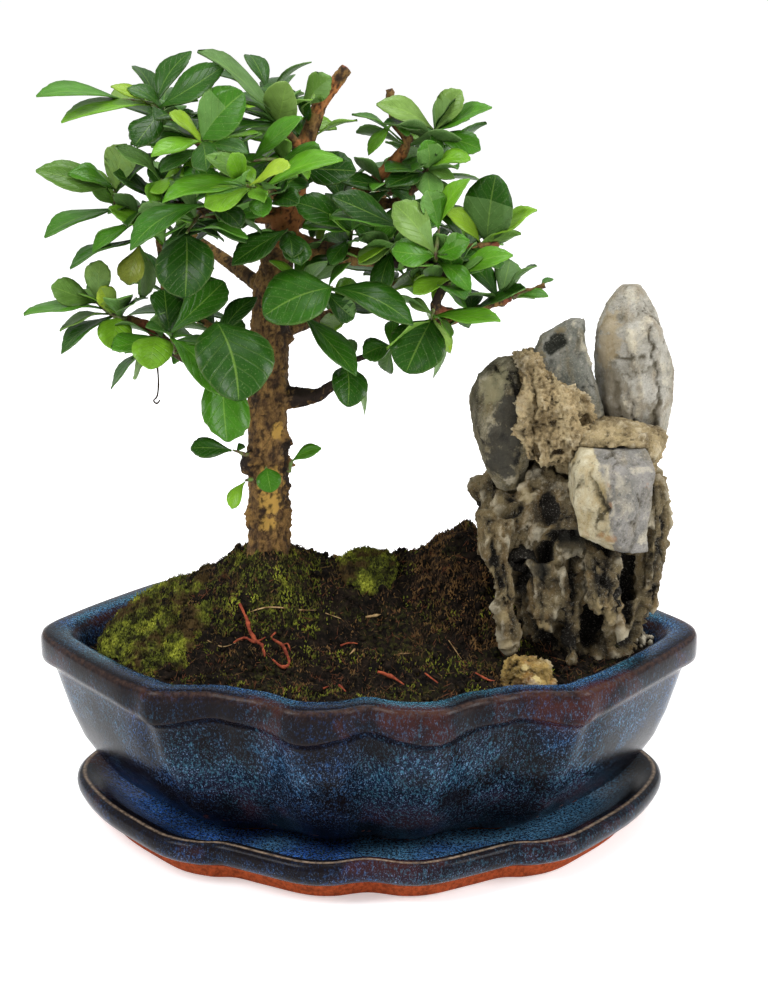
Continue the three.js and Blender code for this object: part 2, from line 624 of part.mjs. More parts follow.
function goldenLeaves(seed) {
  const random = draws(seed);
  return Array.from({ length: backLeafCount }, (_, index) => {
    const share = index / (backLeafCount - 1);
    const heading = index * goldenAngle + 40 * random();
    const lift = 50 * share - 10 + 15 * random();
    const length = 24 - 9 * share * random();
    const width = length * (0.44 + 0.1 * random());
    const roll = 40 * random() - 20;
    return [0.5 + 1.5 * share, heading, lift, length, width, roll];
  });
}

// Standing rock: rough stones and tan mortar, cemented into one ornament
// Stones are stacked rings. A section is z, middle x and y, and half width along x and y.

function stone(sections, sides, seed, rough, grow = 0) {
  const random = draws(seed);
  return loft(sections.map(([z, middleX, middleY, halfX, halfY], index) => {
    const end = index === 0 ? -grow : grow;
    const height = index === 0 || index === sections.length - 1 ? z + end : z;
    return Array.from({ length: sides }, (_, step) => {
      const turn = ((step + 0.5) / sides) * 2 * Math.PI;
      const reach = 1 + rough * (random() - 0.5);
      return [
        middleX + Math.cos(turn) * (halfX * reach + grow),
        middleY + Math.sin(turn) * (halfY * reach + grow),
        height,
      ];
    });
  }));
}

const stones = {
  rock_pillar: [9, 5, 0.22, [
    [124, 86, 0, 10, 10], [133, 86.5, 0, 11.5, 12.5], [144, 87, 0, 12.2, 13.5],
    [156, 86.5, 0, 12.8, 13], [167, 84.5, 0, 12.2, 11], [175, 83.5, 0, 8, 7], [181, 84, 0, 3, 3],
  ]],
  rock_slab: [8, 12, 0.2, [
    [128, 66, -5, 11, 8], [138, 66, -5, 12, 9], [149, 64, -6, 11, 8.5], [157, 61.5, -5, 10.5, 8.5],
    [165, 62.5, -5, 7.5, 6.5], [170.5, 66.5, -4, 3, 3],
  ]],
  rock_boulder: [8, 29, 0.2, [
    [116, 46, -9, 4.5, 5], [124, 44, -10, 8, 9], [134, 43.5, -9, 10.2, 11],
    [145, 43, -8, 10.5, 11], [153, 43.5, -7, 9, 9], [158.5, 46, -7, 4.5, 4],
  ]],
  rock_block: [6, 31, 0.16, [
    [100, 83, -25, 7, 6], [106, 78, -26, 12, 9.5], [116, 77, -26, 14.5, 11],
    [127, 77, -25, 14.5, 11], [133, 77, -22, 12, 8],
  ]],
  rock_ridge: [9, 43, 0.3, [
    [122, 78, -11, 17, 13], [130, 77.5, -12, 19, 15], [136, 77, -12, 17, 13],
    [140, 76, -10, 10, 8],
  ]],
  rock_mortar: [9, 51, 0.36, [
    [127, 58, -13, 13, 10], [138, 59, -14, 16, 10], [147, 56, -13, 14, 9],
    [154, 52, -11, 8, 7], [161, 50.5, -8, 4.5, 5],
  ]],
};
const rockBody = [10, 61, 0.24, [
  [52, 70, -4, 20, 14], [64, 70, -4, 23, 15], [78, 69, -4, 25.5, 16], [92, 66.5, -4, 28, 17],
  [105, 64.5, -4, 30, 18], [114, 64, -4, 30, 17], [121, 66, -4, 27, 15], [126, 70, -4, 20, 11],
]];

// Pendants run down the front of the rock body, with dark hollows between them
const rockPendants = [
  [7, 3, 0.3, [
    [66, 47, -27, 2, 2], [73, 46, -26, 4, 4], [85, 43.5, -23, 5.5, 5], [98, 42, -19, 7, 7],
    [110, 43, -15, 9, 9],
  ]],
  [6, 7, 0.3, [[72, 57, -25, 2.5, 2.5], [80, 56, -23, 4.5, 4.5], [96, 56, -18, 7, 8]]],
  [6, 13, 0.3, [[62, 66, -26, 2.5, 2.5], [72, 65, -24, 4.5, 4.5], [92, 64, -18, 6, 8]]],
  [7, 17, 0.3, [
    [77, 77, -29, 3.5, 3.5], [83, 77, -29, 7, 6], [91, 76, -27, 7, 7], [98, 75, -20, 5, 7],
  ]],
  [6, 19, 0.3, [[66, 80, -22, 3, 3], [74, 81, -20, 6, 6], [82, 82, -15, 7, 8]]],
  [7, 21, 0.3, [
    [77, 91.5, -16, 3, 3], [88, 91, -15, 5, 6], [104, 91.5, -12, 5.5, 8], [120, 90, -9, 6, 9],
  ]],
];
const footStone = [8, 71, 0.3, [
  [54, 52, -36, 6, 5], [60, 51.5, -37, 8.5, 6.5], [66, 50.5, -36, 7.5, 5.5], [70, 48, -35, 3.5, 3],
]];

const grown = ([sides, seed, rough, sections], grow = 0) => stone(sections, sides, seed, rough, grow);

function makeRock() {
  const pieces = {};
  let taken = null;
  for (const [name, shape] of Object.entries(stones)) {
    const whole = grown(shape);
    pieces[name] = taken ? largestBody(whole.subtract(taken)) : whole;
    const cutter = grown(shape, clearance);
    taken = taken ? taken.add(cutter) : cutter;
  }
  const body = join([grown(rockBody), ...rockPendants.map((shape) => grown(shape))]);
  pieces.rock_body = largestBody(body.subtract(taken));
  pieces.foot_stone = largestBody(grown(footStone).subtract(makeRockFoot(clearance)));
  return pieces;
}

function makeRockFoot(grow) {
  return join([grown(rockBody, grow), ...rockPendants.map((shape) => grown(shape, grow))]);
}

// Colours and finishes

const finishes = {
  glaze: { color: '#1d3350', roughness: 0.2 },
  mesh: { color: '#20211f', roughness: 0.7 },
  soil: { color: '#2a1d14', roughness: 1 },
  moss: { color: '#5d6b1c', roughness: 1 },
  bark: { color: '#8a6a44', roughness: 0.85 },
  leaf: { color: '#2f6a22', roughness: 0.4 },
  stone: { color: '#7d7a72', roughness: 0.8 },
  mortar: { color: '#a08c62', roughness: 0.95 },
};

const model = new THREE.Group();

function keep(name, piece, finish) {
  const { vertProperties, triVerts } = piece.getMesh();
  const geometry = new THREE.BufferGeometry();
  geometry.setAttribute('position', new THREE.BufferAttribute(vertProperties, 3));
  geometry.setIndex(new THREE.BufferAttribute(triVerts, 1));
  const mesh = new THREE.Mesh(geometry, new THREE.MeshStandardMaterial(finishes[finish]));
  mesh.name = name;
  model.add(mesh);
}

// Assembly

const wood = makeWood(0);
const grownWood = makeWood(clearance);
const rock = makeRock();
const wholeSoil = makeSoil();
const screens = { drain_screen_left: -drainHoleX, drain_screen_right: drainHoleX };
const pocketSize = [screenSide + 0.8, screenSide + 0.8, 2 * (screenThickness + clearance)];
const soilCutters = [
  grownWood,
  makeRockFoot(clearance),
  grown(footStone, clearance),
  ...Object.values(screens).map((x) => box(pocketSize, [x, 0, screenZ])),
];
const soil = soilCutters.reduce((piece, cutter) => piece.subtract(cutter), wholeSoil);
const mossMats = {
  moss_carpet: [-68, -4, 27, 34, 2.4, 5],
  moss_cushion: [0, 4, 13, 15, 3.4, 8],
};

keep('saucer', makeSaucer(), 'glaze');
keep('pot', makePot(), 'glaze');
for (const [name, x] of Object.entries(screens)) keep(name, makeScreen(x), 'mesh');
keep('soil', largestBody(soil), 'soil');
for (const [name, mat] of Object.entries(mossMats)) keep(name, makeMoss(mat, wholeSoil), 'moss');
keep('trunk', wood, 'bark');
for (const [name, piece] of Object.entries(rock)) {
  keep(name, piece, name === 'rock_mortar' ? 'mortar' : 'stone');
}

const shoots = [
  ...frontShoots,
  ...backShoots.map(([name, twig, seed]) => ({ name, twig, leaves: goldenLeaves(seed) })),
];
const twigs = shoots.map(({ twig }) => makeTwig(twig));
const finished = Object.values(rock);
for (const [index, shoot] of shoots.entries()) {
  const neighbours = [...finished, ...twigs.slice(index + 1)];
  const piece = makeShoot(shoot, neighbours, wood, grownWood);
  finished.push(piece);
  keep(`shoot_${shoot.name}`, piece, 'leaf');
}

export default model;
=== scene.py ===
# %% [markdown]
# # A Fukien tea bonsai in a lobed blue pot
#
# This lesson dresses a small potted tree: a glazed pot on its saucer, damp soil with moss,
# a trunk with rough bark, nearly five hundred glossy leaves and a standing rock.
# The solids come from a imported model, which fixes every size and place.
# Blender adds what the eye sees: round edges, bark, veins, crumbs and finishes.

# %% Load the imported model
import math

import bmesh
import bpy
from mathutils import Euler, Matrix, Vector, noise
from mathutils.bvhtree import BVHTree


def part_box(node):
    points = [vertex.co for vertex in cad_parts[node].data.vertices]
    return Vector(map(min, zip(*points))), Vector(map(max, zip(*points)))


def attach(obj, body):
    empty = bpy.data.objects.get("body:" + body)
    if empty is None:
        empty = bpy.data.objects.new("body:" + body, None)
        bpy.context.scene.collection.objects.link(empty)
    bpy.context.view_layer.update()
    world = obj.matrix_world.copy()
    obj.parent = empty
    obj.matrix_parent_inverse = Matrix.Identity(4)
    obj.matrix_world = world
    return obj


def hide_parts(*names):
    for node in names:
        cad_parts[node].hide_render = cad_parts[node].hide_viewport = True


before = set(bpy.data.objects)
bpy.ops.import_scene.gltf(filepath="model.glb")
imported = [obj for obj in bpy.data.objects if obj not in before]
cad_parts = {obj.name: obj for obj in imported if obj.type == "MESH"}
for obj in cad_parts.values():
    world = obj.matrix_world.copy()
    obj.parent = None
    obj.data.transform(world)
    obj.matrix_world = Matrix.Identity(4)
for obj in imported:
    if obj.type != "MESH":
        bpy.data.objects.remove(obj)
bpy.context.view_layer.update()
MM = 0.001
# Points nearer than this, in metres, are one point.
TOUCHING = 1e-6
print("solids:", len(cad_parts))

# %% [markdown]
# ## Camera, light and floor
#
# The camera comes first, so that every piece can be judged from where the photograph was taken.
# It looks down by about sixteen degrees from a little over half a metre away, which keeps the
# ellipse of the rim as open as it is in the picture. Three large soft lamps and a white sky give
# the even light of a product photograph, with long pale reflections in the glaze.

# %% Camera
camera_data = bpy.data.cameras.new("camera")
camera_data.lens = 76.86
camera_data.sensor_width = 36
camera_data.clip_start = 0.01
camera = bpy.data.objects.new("camera", camera_data)
camera.location = (0.0050, -0.6738, 0.2996)
camera.rotation_euler = (math.radians(74.276), 0, 0)
bpy.context.scene.collection.objects.link(camera)
bpy.context.scene.camera = camera

# %% Lamps
def add_lamp(name, place, aim, size, power):
    lamp = bpy.data.objects.new(name, bpy.data.lights.new(name, "AREA"))
    lamp.data.size = size
    lamp.data.energy = power
    lamp.location = place
    lamp.rotation_euler = (Vector(aim) - Vector(place)).to_track_quat("-Z", "Y").to_euler()
    bpy.context.scene.collection.objects.link(lamp)


crown_middle = (0, 0, 0.15)
add_lamp("window_left", (-0.75, -0.45, 0.85), crown_middle, size=0.5, power=9)
add_lamp("window_right", (0.8, -0.3, 0.5), crown_middle, size=0.4, power=6.5)
add_lamp("sky_above", (0.1, 0.15, 1.1), crown_middle, size=0.7, power=9)
print("camera distance:", round((camera.location - Vector(crown_middle)).length, 3), "m")

# %% Sky and floor
sky = bpy.data.worlds.new("sky")
sky.use_nodes = True
sky.node_tree.nodes["Background"].inputs["Color"].default_value = (1, 1, 1, 1)
sky.node_tree.nodes["Background"].inputs["Strength"].default_value = 0.7
bpy.context.scene.world = sky
bpy.context.scene.view_settings.view_transform = "Standard"

floor_reach = 12
floor_gap = 0.0002
floor_mesh = bmesh.new()
bmesh.ops.create_grid(floor_mesh, x_segments=1, y_segments=1, size=floor_reach)
floor = bpy.data.objects.new("floor", bpy.data.meshes.new("floor"))
floor_mesh.to_mesh(floor.data)
floor.location.z = -floor_gap
bpy.context.scene.collection.objects.link(floor)
print("floor:", 2 * floor_reach, "m wide")

# %% [markdown]
# ## A few tools
#
# Most of these pieces are sheets bent round something: a pot wall round an outline, bark round a
# twig, a leaf along its midrib. So one helper makes a grid with a bmesh operator and moves each
# of its points to a place worked out from the two grid directions. Where the sheet closes on
# itself, doubled points are merged. Random draws come from a small seeded rule, so that every
# run gives the same plant.

# %% Seeded draws and curves
def draws(seed):
    """Endless seeded numbers from 0 to 1."""
    factor, wheel = 16807, 2147483647
    state = seed
    while True:
        state = state * factor % wheel
        yield state / wheel


def between(low, high, share):
    return low + (high - low) * share


def soft_step(low, high, value):
    """From 0 at low to 1 at high, with a soft start and end."""
    share = min(max((value - low) / (high - low), 0), 1)
    return share * share * (3 - 2 * share)


def smooth_path(points, share, closed=False):
    """A point on the smooth curve through the points, at a share of its length in points."""
    count = len(points)
    spans = count if closed else count - 1
    place = share * spans
    start = min(int(place), spans - 1)
    local = place - start

    def pick(index):
        if closed:
            return points[index % count]
        return points[min(max(index, 0), count - 1)]

    before, first, second, after = (pick(start + step) for step in (-1, 0, 1, 2))
    result = []
    for a, b, c, d in zip(before, first, second, after):
        result.append(b + 0.5 * local * (c - a + local * (
            2 * a - 5 * b + 4 * c - d + local * (3 * (b - c) + d - a))))
    return result


first_draw = next(draws(1))
print("first draw of seed 1:", round(first_draw, 6))

# %% Shape tools
def bent_grid(around, along, place):
    """A grid whose point at shares (u, v), each from 0 to 1, goes to place(u, v)."""
    sheet = bmesh.new()
    sheet.loops.layers.uv.new("UVMap")
    bmesh.ops.create_grid(sheet, x_segments=around, y_segments=along, size=0.5, calc_uvs=True)
    for vert in sheet.verts:
        vert.co = place(vert.co.x + 0.5, vert.co.y + 0.5)
    return sheet


def close_seams(sheet):
    """Joins doubled points, fills the open ends and turns the faces outwards."""
    bmesh.ops.remove_doubles(sheet, verts=sheet.verts, dist=TOUCHING)
    holes = [edge for edge in sheet.edges if edge.is_boundary]
    if holes:
        bmesh.ops.holes_fill(sheet, edges=holes, sides=0)
    bmesh.ops.recalc_face_normals(sheet, faces=sheet.faces)


def show(name, sheet, materials, nodes=()):
    """Makes the finished object, lets it ride on the model, and hides the solids it stands for."""
    for face in sheet.faces:
        face.smooth = True
    piece = bpy.data.objects.new(name, bpy.data.meshes.new(name))
    sheet.to_mesh(piece.data)
    sheet.free()
    for material in materials:
        piece.data.materials.append(material)
    bpy.context.scene.collection.objects.link(piece)
    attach(piece, "root")
    for node in nodes:
        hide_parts(node)
    print(name, len(piece.data.polygons), "faces")
    return piece


# %% [markdown]
# A material is a small tree of nodes. These helpers add a node and join its sockets in one call,
# so that each material below reads from top to bottom: where, which pattern, which colour. The
# noise texture gives cloudy values round 0.5, and a Map Range node turns a part of them into a
# mask with soft or crisp edges. Simple finishes, such as straw or grit, are two colours in fine
# patches, so one helper makes them all.

# %% Material tools
def srgb(code):
    """The linear colour of a hex code such as 2f7a25, by the usual curve of a screen."""
    values = [int(code[place:place + 2], 16) / 255 for place in (0, 2, 4)]
    linear = [
        value / 12.92 if value < 0.04 else ((value + 0.055) / 1.055) ** 2.4 for value in values]
    return (*linear, 1)


def join(tree, value, socket):
    if isinstance(value, bpy.types.NodeSocket):
        tree.links.new(value, socket)
    else:
        socket.default_value = value


def add_node(tree, kind, inputs=None, **settings):
    node = tree.nodes.new(kind)
    for name, value in settings.items():
        setattr(node, name, value)
    for name, value in (inputs or {}).items():
        join(tree, value, node.inputs[name])
    return node


def speckle(tree, place, scale, detail=3, roughness=0.6):
    """Cloudy noise at a scale of cells per metre."""
    inputs = {"Vector": place, "Scale": scale, "Detail": detail, "Roughness": roughness}
    return add_node(tree, "ShaderNodeTexNoise", inputs).outputs["Fac"]


def mask(tree, value, low, high, start=0.0, end=1.0):
    """Runs from start to end while the value runs from low to high."""
    inputs = {"Value": value, "From Min": low, "From Max": high, "To Min": start, "To Max": end}
    return add_node(tree, "ShaderNodeMapRange", inputs).outputs["Result"]


def mix(tree, share, first, second, blend="MIX"):
    node = add_node(tree, "ShaderNodeMix", data_type="RGBA", blend_type=blend)
    for index, value in ((0, share), (6, first), (7, second)):
        join(tree, value, node.inputs[index])
    return node.outputs[2]


def maths(tree, operation, first, second):
    node = add_node(tree, "ShaderNodeMath", operation=operation)
    join(tree, first, node.inputs[0])
    join(tree, second, node.inputs[1])
    return node.outputs[0]


def stretch(tree, place, scale):
    return add_node(tree, "ShaderNodeMapping", {"Vector": place, "Scale": scale}).outputs["Vector"]


def own_place(tree):
    return add_node(tree, "ShaderNodeTexCoord").outputs["Object"]


def attribute(tree, name):
    return add_node(tree, "ShaderNodeAttribute", attribute_name=name)


def new_material(name, **settings):
    material = bpy.data.materials.new(name)
    material.use_nodes = True
    tree = material.node_tree
    shader = tree.nodes["Principled BSDF"]
    for socket, value in settings.items():
        shader.inputs[socket.replace("_", " ")].default_value = value
    return material, tree, shader


def raise_surface(tree, shader, height, distance, strength=1.0):
    inputs = {"Height": height, "Distance": distance, "Strength": strength}
    bump = add_node(tree, "ShaderNodeBump", inputs)
    tree.links.new(bump.outputs["Normal"], shader.inputs["Normal"])


def paint(tree, shader, colour):
    tree.links.new(colour, shader.inputs["Base Color"])


def two_tone(name, first, second, scale, reach=(0.4, 0.6), grain=None, **settings):
    """A finish of two colours in patches, and a fine grain where its scale is given."""
    material, tree, shader = new_material(name, **settings)
    place = own_place(tree)
    patches = mask(tree, speckle(tree, place, scale), *reach)
    paint(tree, shader, mix(tree, patches, srgb(first), srgb(second)))
    if grain:
        raise_surface(tree, shader, speckle(tree, place, grain), 0.0003, 0.6)
    return material


# %% Floor paint
floor_paint, tree, shader = new_material("floor_paint", Roughness=0.9, Emission_Strength=0.38)
shader.inputs["Base Color"].default_value = (0.9, 0.9, 0.91, 1)
shader.inputs["Emission Color"].default_value = (1, 1, 1, 1)
floor.data.materials.append(floor_paint)
print("finish:", floor_paint.name)

# %% [markdown]
# ## Glazed ware
#
# Pot and saucer are thrown from the same dark clay and dipped in the same runny glaze. It breaks
# into fine blue flecks that have run downwards, turns bright turquoise where it lies thick on the
# rim, and thins to brown along every edge. The flecks are one node group that both materials use,
# and a second group makes a soft ragged ball of colour, here for a few small brick red drips.
# The brown edges can't be found by the shader, so the mesh carries them as a colour attribute:
# red for thin glaze, green for thick bright glaze and blue for bare clay.

# %% Tools for node groups
def new_group(name, inputs, outputs):
    """A node group with named sockets, each a title and its kind."""
    group = bpy.data.node_groups.new(name, "ShaderNodeTree")
    for title, kind in inputs:
        group.interface.new_socket(title, in_out="INPUT", socket_type="NodeSocket" + kind)
    for title, kind in outputs:
        group.interface.new_socket(title, in_out="OUTPUT", socket_type="NodeSocket" + kind)
    return group, group.nodes.new("NodeGroupInput").outputs, group.nodes.new("NodeGroupOutput").inputs


def use_group(tree, group, inputs):
    node = tree.nodes.new("ShaderNodeGroup")
    node.node_tree = group
    for name, value in inputs.items():
        join(tree, value, node.inputs[name])
    return node.outputs


# %% A ragged mask round a point, as a node group
near_point, given, result = new_group(
    "near_point",
    [("Place", "Vector"), ("Point", "Vector"), ("Reach", "Float")],
    [("Share", "Float")])
ends = {0: given["Place"], 1: given["Point"]}
measure = add_node(near_point, "ShaderNodeVectorMath", ends, operation="DISTANCE")
ragged = mask(near_point, speckle(near_point, given["Place"], 420, 4), 0.3, 0.7, 0.55, 1.45)
reach = maths(near_point, "MULTIPLY", given["Reach"], ragged)
closeness = maths(near_point, "DIVIDE", measure.outputs["Value"], reach)
near_point.links.new(mask(near_point, closeness, 1.1, 0.75), result["Share"])


def spot_share(tree, place, spots):
    """The joint mask of several balls, each a point and a reach in millimetres."""
    total = 0.0
    for *point, reach in spots:
        inputs = {"Place": place, "Point": Vector(point) * MM, "Reach": reach * MM}
        share = use_group(tree, near_point, inputs)["Share"]
        total = maths(tree, "MAXIMUM", share, total)
    return total


print("group:", near_point.name)

# %% The glaze flecks, as a node group
flecks, given, result = new_group(
    "glaze_flecks",
    [("Place", "Vector"), ("Thin", "Float"), ("Thick", "Float"), ("Rich", "Color"),
     ("Cool", "Color")],
    [("Colour", "Color"), ("Height", "Float")])
runs = stretch(flecks, given["Place"], (1, 1, 0.55))
pin_flecks = speckle(flecks, runs, 2600, 3, 0.7)
fine_flecks = speckle(flecks, runs, 1150, 4, 0.7)
clouds = speckle(flecks, given["Place"], 42, 3)
hues = speckle(flecks, given["Place"], 19, 2)
glaze_dark = mix(flecks, mask(flecks, clouds, 0.42, 0.6), srgb("0b090b"), srgb("0c1626"))
cloud_share = mask(flecks, clouds, 0.38, 0.56, 0.15, 1)
fleck_share = maths(flecks, "MULTIPLY", mask(flecks, fine_flecks, 0.52, 0.66), cloud_share)
fleck_colour = mix(flecks, mask(flecks, hues, 0.44, 0.56), srgb("2b538a"), srgb("3b697f"))
glaze_blue = mix(flecks, maths(flecks, "MULTIPLY", fleck_share, 0.75), glaze_dark, fleck_colour)
pin_share = maths(flecks, "MULTIPLY", mask(flecks, pin_flecks, 0.58, 0.69), cloud_share)
glaze_fleck = mix(flecks, maths(flecks, "MULTIPLY", pin_share, 0.8), glaze_blue, srgb("7d9cc8"))
thick_colour = mix(flecks, mask(flecks, hues, 0.44, 0.56), given["Rich"], given["Cool"])
thick_ground = mix(flecks, mask(flecks, fine_flecks, 0.46, 0.6), srgb("0b101b"), thick_colour)
thick_fleck = mix(flecks, mask(flecks, pin_flecks, 0.53, 0.67), thick_ground, srgb("86b4d2"))
thick_share = maths(flecks, "MULTIPLY", given["Thick"], mask(flecks, clouds, 0.38, 0.54, 0.4, 1))
glaze_thick = mix(flecks, thick_share, glaze_fleck, thick_fleck)
thin_share = maths(flecks, "MULTIPLY", given["Thin"], mask(flecks, fine_flecks, 0.62, 0.42, 0.7, 1))
thin_colour = mix(flecks, mask(flecks, clouds, 0.5, 0.62), srgb("130f11"), srgb("381a10"))
flecks.links.new(mix(flecks, thin_share, glaze_thick, thin_colour), result["Colour"])
flecks.links.new(maths(flecks, "ADD", fine_flecks, clouds), result["Height"])
print("group:", flecks.name)

# %% Glazed clay
glaze_shine = 0.13


def glazed(name, rich_code, cool_code, edge_code, clay_code, drips=()):
    """Glaze with two hues where it lies thick, a line along the edges, and bare clay."""
    material, tree, shader = new_material(name, Roughness=glaze_shine, Specular_IOR_Level=0.055)
    painted = attribute(tree, "zones").outputs["Color"]
    zones = add_node(tree, "ShaderNodeSeparateColor", {"Color": painted}).outputs
    thin, thick, bare = (zones[channel] for channel in ("Red", "Green", "Blue"))
    place = own_place(tree)
    glaze = use_group(tree, flecks, {
        "Place": place, "Thin": thin, "Thick": thick, "Rich": srgb(rich_code),
        "Cool": srgb(cool_code)})
    grit = speckle(tree, place, 600, 5, 0.8)
    worn = mask(tree, grit, 0.42, 0.6, 0.2, 0.9)
    edge_line = maths(tree, "MULTIPLY", mask(tree, thin, 0.86, 1), worn)
    with_edge = mix(tree, edge_line, glaze["Colour"], srgb(edge_code))
    with_edge = mix(tree, spot_share(tree, place, drips), with_edge, srgb("8a3a24"))
    clay = mix(tree, mask(tree, grit, 0.4, 0.62), srgb(clay_code), srgb("6c3019"))
    ragged = maths(tree, "ADD", bare, mask(tree, speckle(tree, place, 130), 0.3, 0.7, -0.2, 0.2))
    bare_share = mask(tree, ragged, 0.45, 0.55)
    paint(tree, shader, mix(tree, bare_share, with_edge, clay))
    tree.links.new(mask(tree, bare_share, 0, 1, glaze_shine, 0.8), shader.inputs["Roughness"])
    raise_surface(tree, shader, glaze["Height"], 0.0002, 0.35)
    return material


rim_drips = [(5.6, -76, 64, 1), (23.7, -77, 63, 0.8), (50.5, -62, 66, 0.8)]
pot_glaze = glazed("pot_glaze", "1f4f8c", "1e6c80", "41312a", "9c4f30", rim_drips)
# The saucer's bright blues are partly a painted light, to read in the shade under the pot.
saucer_glaze = glazed("saucer_glaze", "3c7cf0", "5c9ccc", "a8927c", "a04a28")
print("finishes:", pot_glaze.name, saucer_glaze.name)

# %% [markdown]
# The outline of both is a pointed oval with shallow lobes. A quarter of it is listed from the
# pointed end to the middle of a long side, mirrored to the whole, and drawn as a smooth curve.
# The wall is a profile of insets and heights that runs from the middle of the underside, up the
# outside, over the rim and down the inside. The grid helper sweeps the profile round the outline,
# and the rim band's lower edge dips and rises with the lobes. All sizes in these lists are in
# millimetres.

# %% Lobed outlines
# Half the length and half the depth of each, and a quarter outline of points and dips.
pot_length, pot_depth = 110, 77
saucer_length, saucer_depth = 99.5, 79
pot_quarter = [
    (110, 0, 1.5), (101, 19, 0), (82, 45, 0), (73, 54, 1.5), (66, 60, 2.5), (50, 60.5, 0),
    (42, 64, 0), (33, 68, 0.5), (25, 75, 2), (18, 77, 2.5), (9, 76, 1), (0, 72, 0),
]
saucer_quarter = [
    (99.5, 0, 0), (97, 13, 0), (88, 31, 0), (76, 47, 0), (66, 58, 0), (56, 63, 0), (47, 64, 0),
    (36, 70, 0), (22, 77.5, 0), (12, 78.9, 0), (0, 76, 0),
]


def whole_outline(quarter):
    outline = list(quarter[:-1])
    outline += [(-x, y, dip) for x, y, dip in reversed(quarter[1:])]
    outline += [(-x, -y, dip) for x, y, dip in quarter[:-1]]
    outline += [(x, -y, dip) for x, y, dip in reversed(quarter[1:])]
    return outline


def on_outline(outline, share, length, depth, inset):
    """Where the outline is at a share of its way round, drawn in by the inset, and its dip."""
    x, y, dip = smooth_path(outline, share, closed=True)
    return x * (1 - inset / length), y * (1 - inset / depth), dip


pot_outline = whole_outline(pot_quarter)
saucer_outline = whole_outline(saucer_quarter)
print("outline points:", len(pot_outline), len(saucer_outline))

# %% Swept ware
ware_steps = 240


def sweep(outline, length, depth, profile):
    """Each profile row is inset, height, share of the dip, and the three glaze zones."""
    rows = len(profile) - 1

    def place(u, v):
        inset, height, dips, *_ = profile[round(v * rows)]
        x, y, dip = on_outline(outline, u, length, depth, inset)
        return Vector((x, y, height - dips * dip)) * MM

    ware = bent_grid(ware_steps, rows, place)
    zones = ware.verts.layers.float_color.new("zones")
    uv = ware.loops.layers.uv.active
    for face in ware.faces:
        for loop in face.loops:
            loop.vert[zones] = (*profile[round(loop[uv].uv.y * rows)][3:], 1)
    close_seams(ware)
    return ware


# %% The pot
pot_profile = [
    (60, 8, 0, 0, 0, 1), (46, 8, 0, 0, 0, 1), (45, 7.6, 0, 0, 0, 1), (45, 5.5, 0, 0, 0, 1),
    (44.5, 5.3, 0, 0, 0, 1), (38.6, 5.3, 0, 0, 0, 1), (38, 5.6, 0, 0.4, 0, 0.8),
    (34, 7.3, 0, 0.9, 0, 0.4), (29, 10.2, 0, 0.9, 0, 0.1), (24, 13.6, 0, 0.75, 0, 0.36),
    (18.5, 19.8, 0, 0.6, 0, 0.18), (13, 28, 0, 0.2, 0, 0), (9.2, 37, 0, 0, 0.05, 0),
    (6.4, 46, 0, 0, 0, 0), (5, 52, 1, 0.3, 0, 0), (4, 54.4, 1, 0.7, 0, 0),
    (1.6, 55.4, 1, 0.8, 0, 0), (0.4, 56.4, 1, 0.9, 0, 0), (0, 57.8, 0.7, 0.7, 0, 0),
    (0, 60.5, 0.2, 0.85, 0, 0), (0.1, 62.8, 0, 0.9, 0, 0), (0.9, 64.3, 0, 1, 0, 0),
    (2.4, 64.9, 0, 0.8, 0.1, 0), (4.4, 65, 0, 0.4, 0.5, 0), (8, 64.9, 0, 0, 1, 0),
    (9.8, 64.3, 0, 0.4, 0.8, 0), (11, 63, 0, 0.9, 0.2, 0), (12.6, 60.5, 0, 0.3, 0.3, 0),
    (14.4, 55, 0, 0.2, 0, 0.2), (20, 40, 0, 0, 0, 1), (26, 26, 0, 0, 0, 1),
    (33, 17, 0, 0, 0, 1), (37, 13.5, 0, 0, 0, 1), (60, 13.5, 0, 0, 0, 1),
]
pot_ware = sweep(pot_outline, pot_length, pot_depth, pot_profile)
print("uncut pot:", len(pot_ware.faces), "faces")

# %% [markdown]
# The pot drains through two holes in its floor, and stands on four low feet with arches between
# them. All are cut from the finished wall at once, with one Boolean, as a potter cuts them from
# leather-hard clay. The cutters are two cylinders and two long boxes in a mesh of their own.

# %% Cutters for the holes and the arches between the feet
hole_places, hole_radius, hole_middle = (-30, 30), 6, 11
arch_sizes, arch_middle = ((220, 20, 3), (34, 154, 3)), 5.8
cutters = bmesh.new()
for x in hole_places:
    made = bmesh.ops.create_cone(
        cutters, cap_ends=True, segments=40, radius1=hole_radius * MM, radius2=hole_radius * MM,
        depth=20 * MM)
    bmesh.ops.translate(cutters, verts=made["verts"], vec=Vector((x, 0, hole_middle)) * MM)
for arch_size in arch_sizes:
    made = bmesh.ops.create_cube(cutters, size=1)
    bmesh.ops.scale(cutters, verts=made["verts"], vec=Vector(arch_size) * MM)
    bmesh.ops.translate(cutters, verts=made["verts"], vec=Vector((0, 0, arch_middle)) * MM)
print("cutters:", len(hole_places), "holes and", len(arch_sizes), "arches")

# %% Cut the pot
def cut_pot(ware, knives):
    """The ware with the knives' shapes taken out of it."""
    pieces = {}
    for name, sheet in (("cutters", knives), ("uncut_pot", ware)):
        pieces[name] = bpy.data.objects.new(name, bpy.data.meshes.new(name))
        sheet.to_mesh(pieces[name].data)
        sheet.free()
        bpy.context.scene.collection.objects.link(pieces[name])
    cut = pieces["uncut_pot"].modifiers.new("holes", "BOOLEAN")
    cut.object = pieces["cutters"]
    cut.solver = "EXACT"
    graph = bpy.context.evaluated_depsgraph_get()
    mesh = bpy.data.meshes.new_from_object(pieces["uncut_pot"].evaluated_get(graph))
    finished = bmesh.new()
    finished.from_mesh(mesh)
    for piece in pieces.values():
        bpy.data.objects.remove(piece)
    bpy.data.meshes.remove(mesh)
    return finished


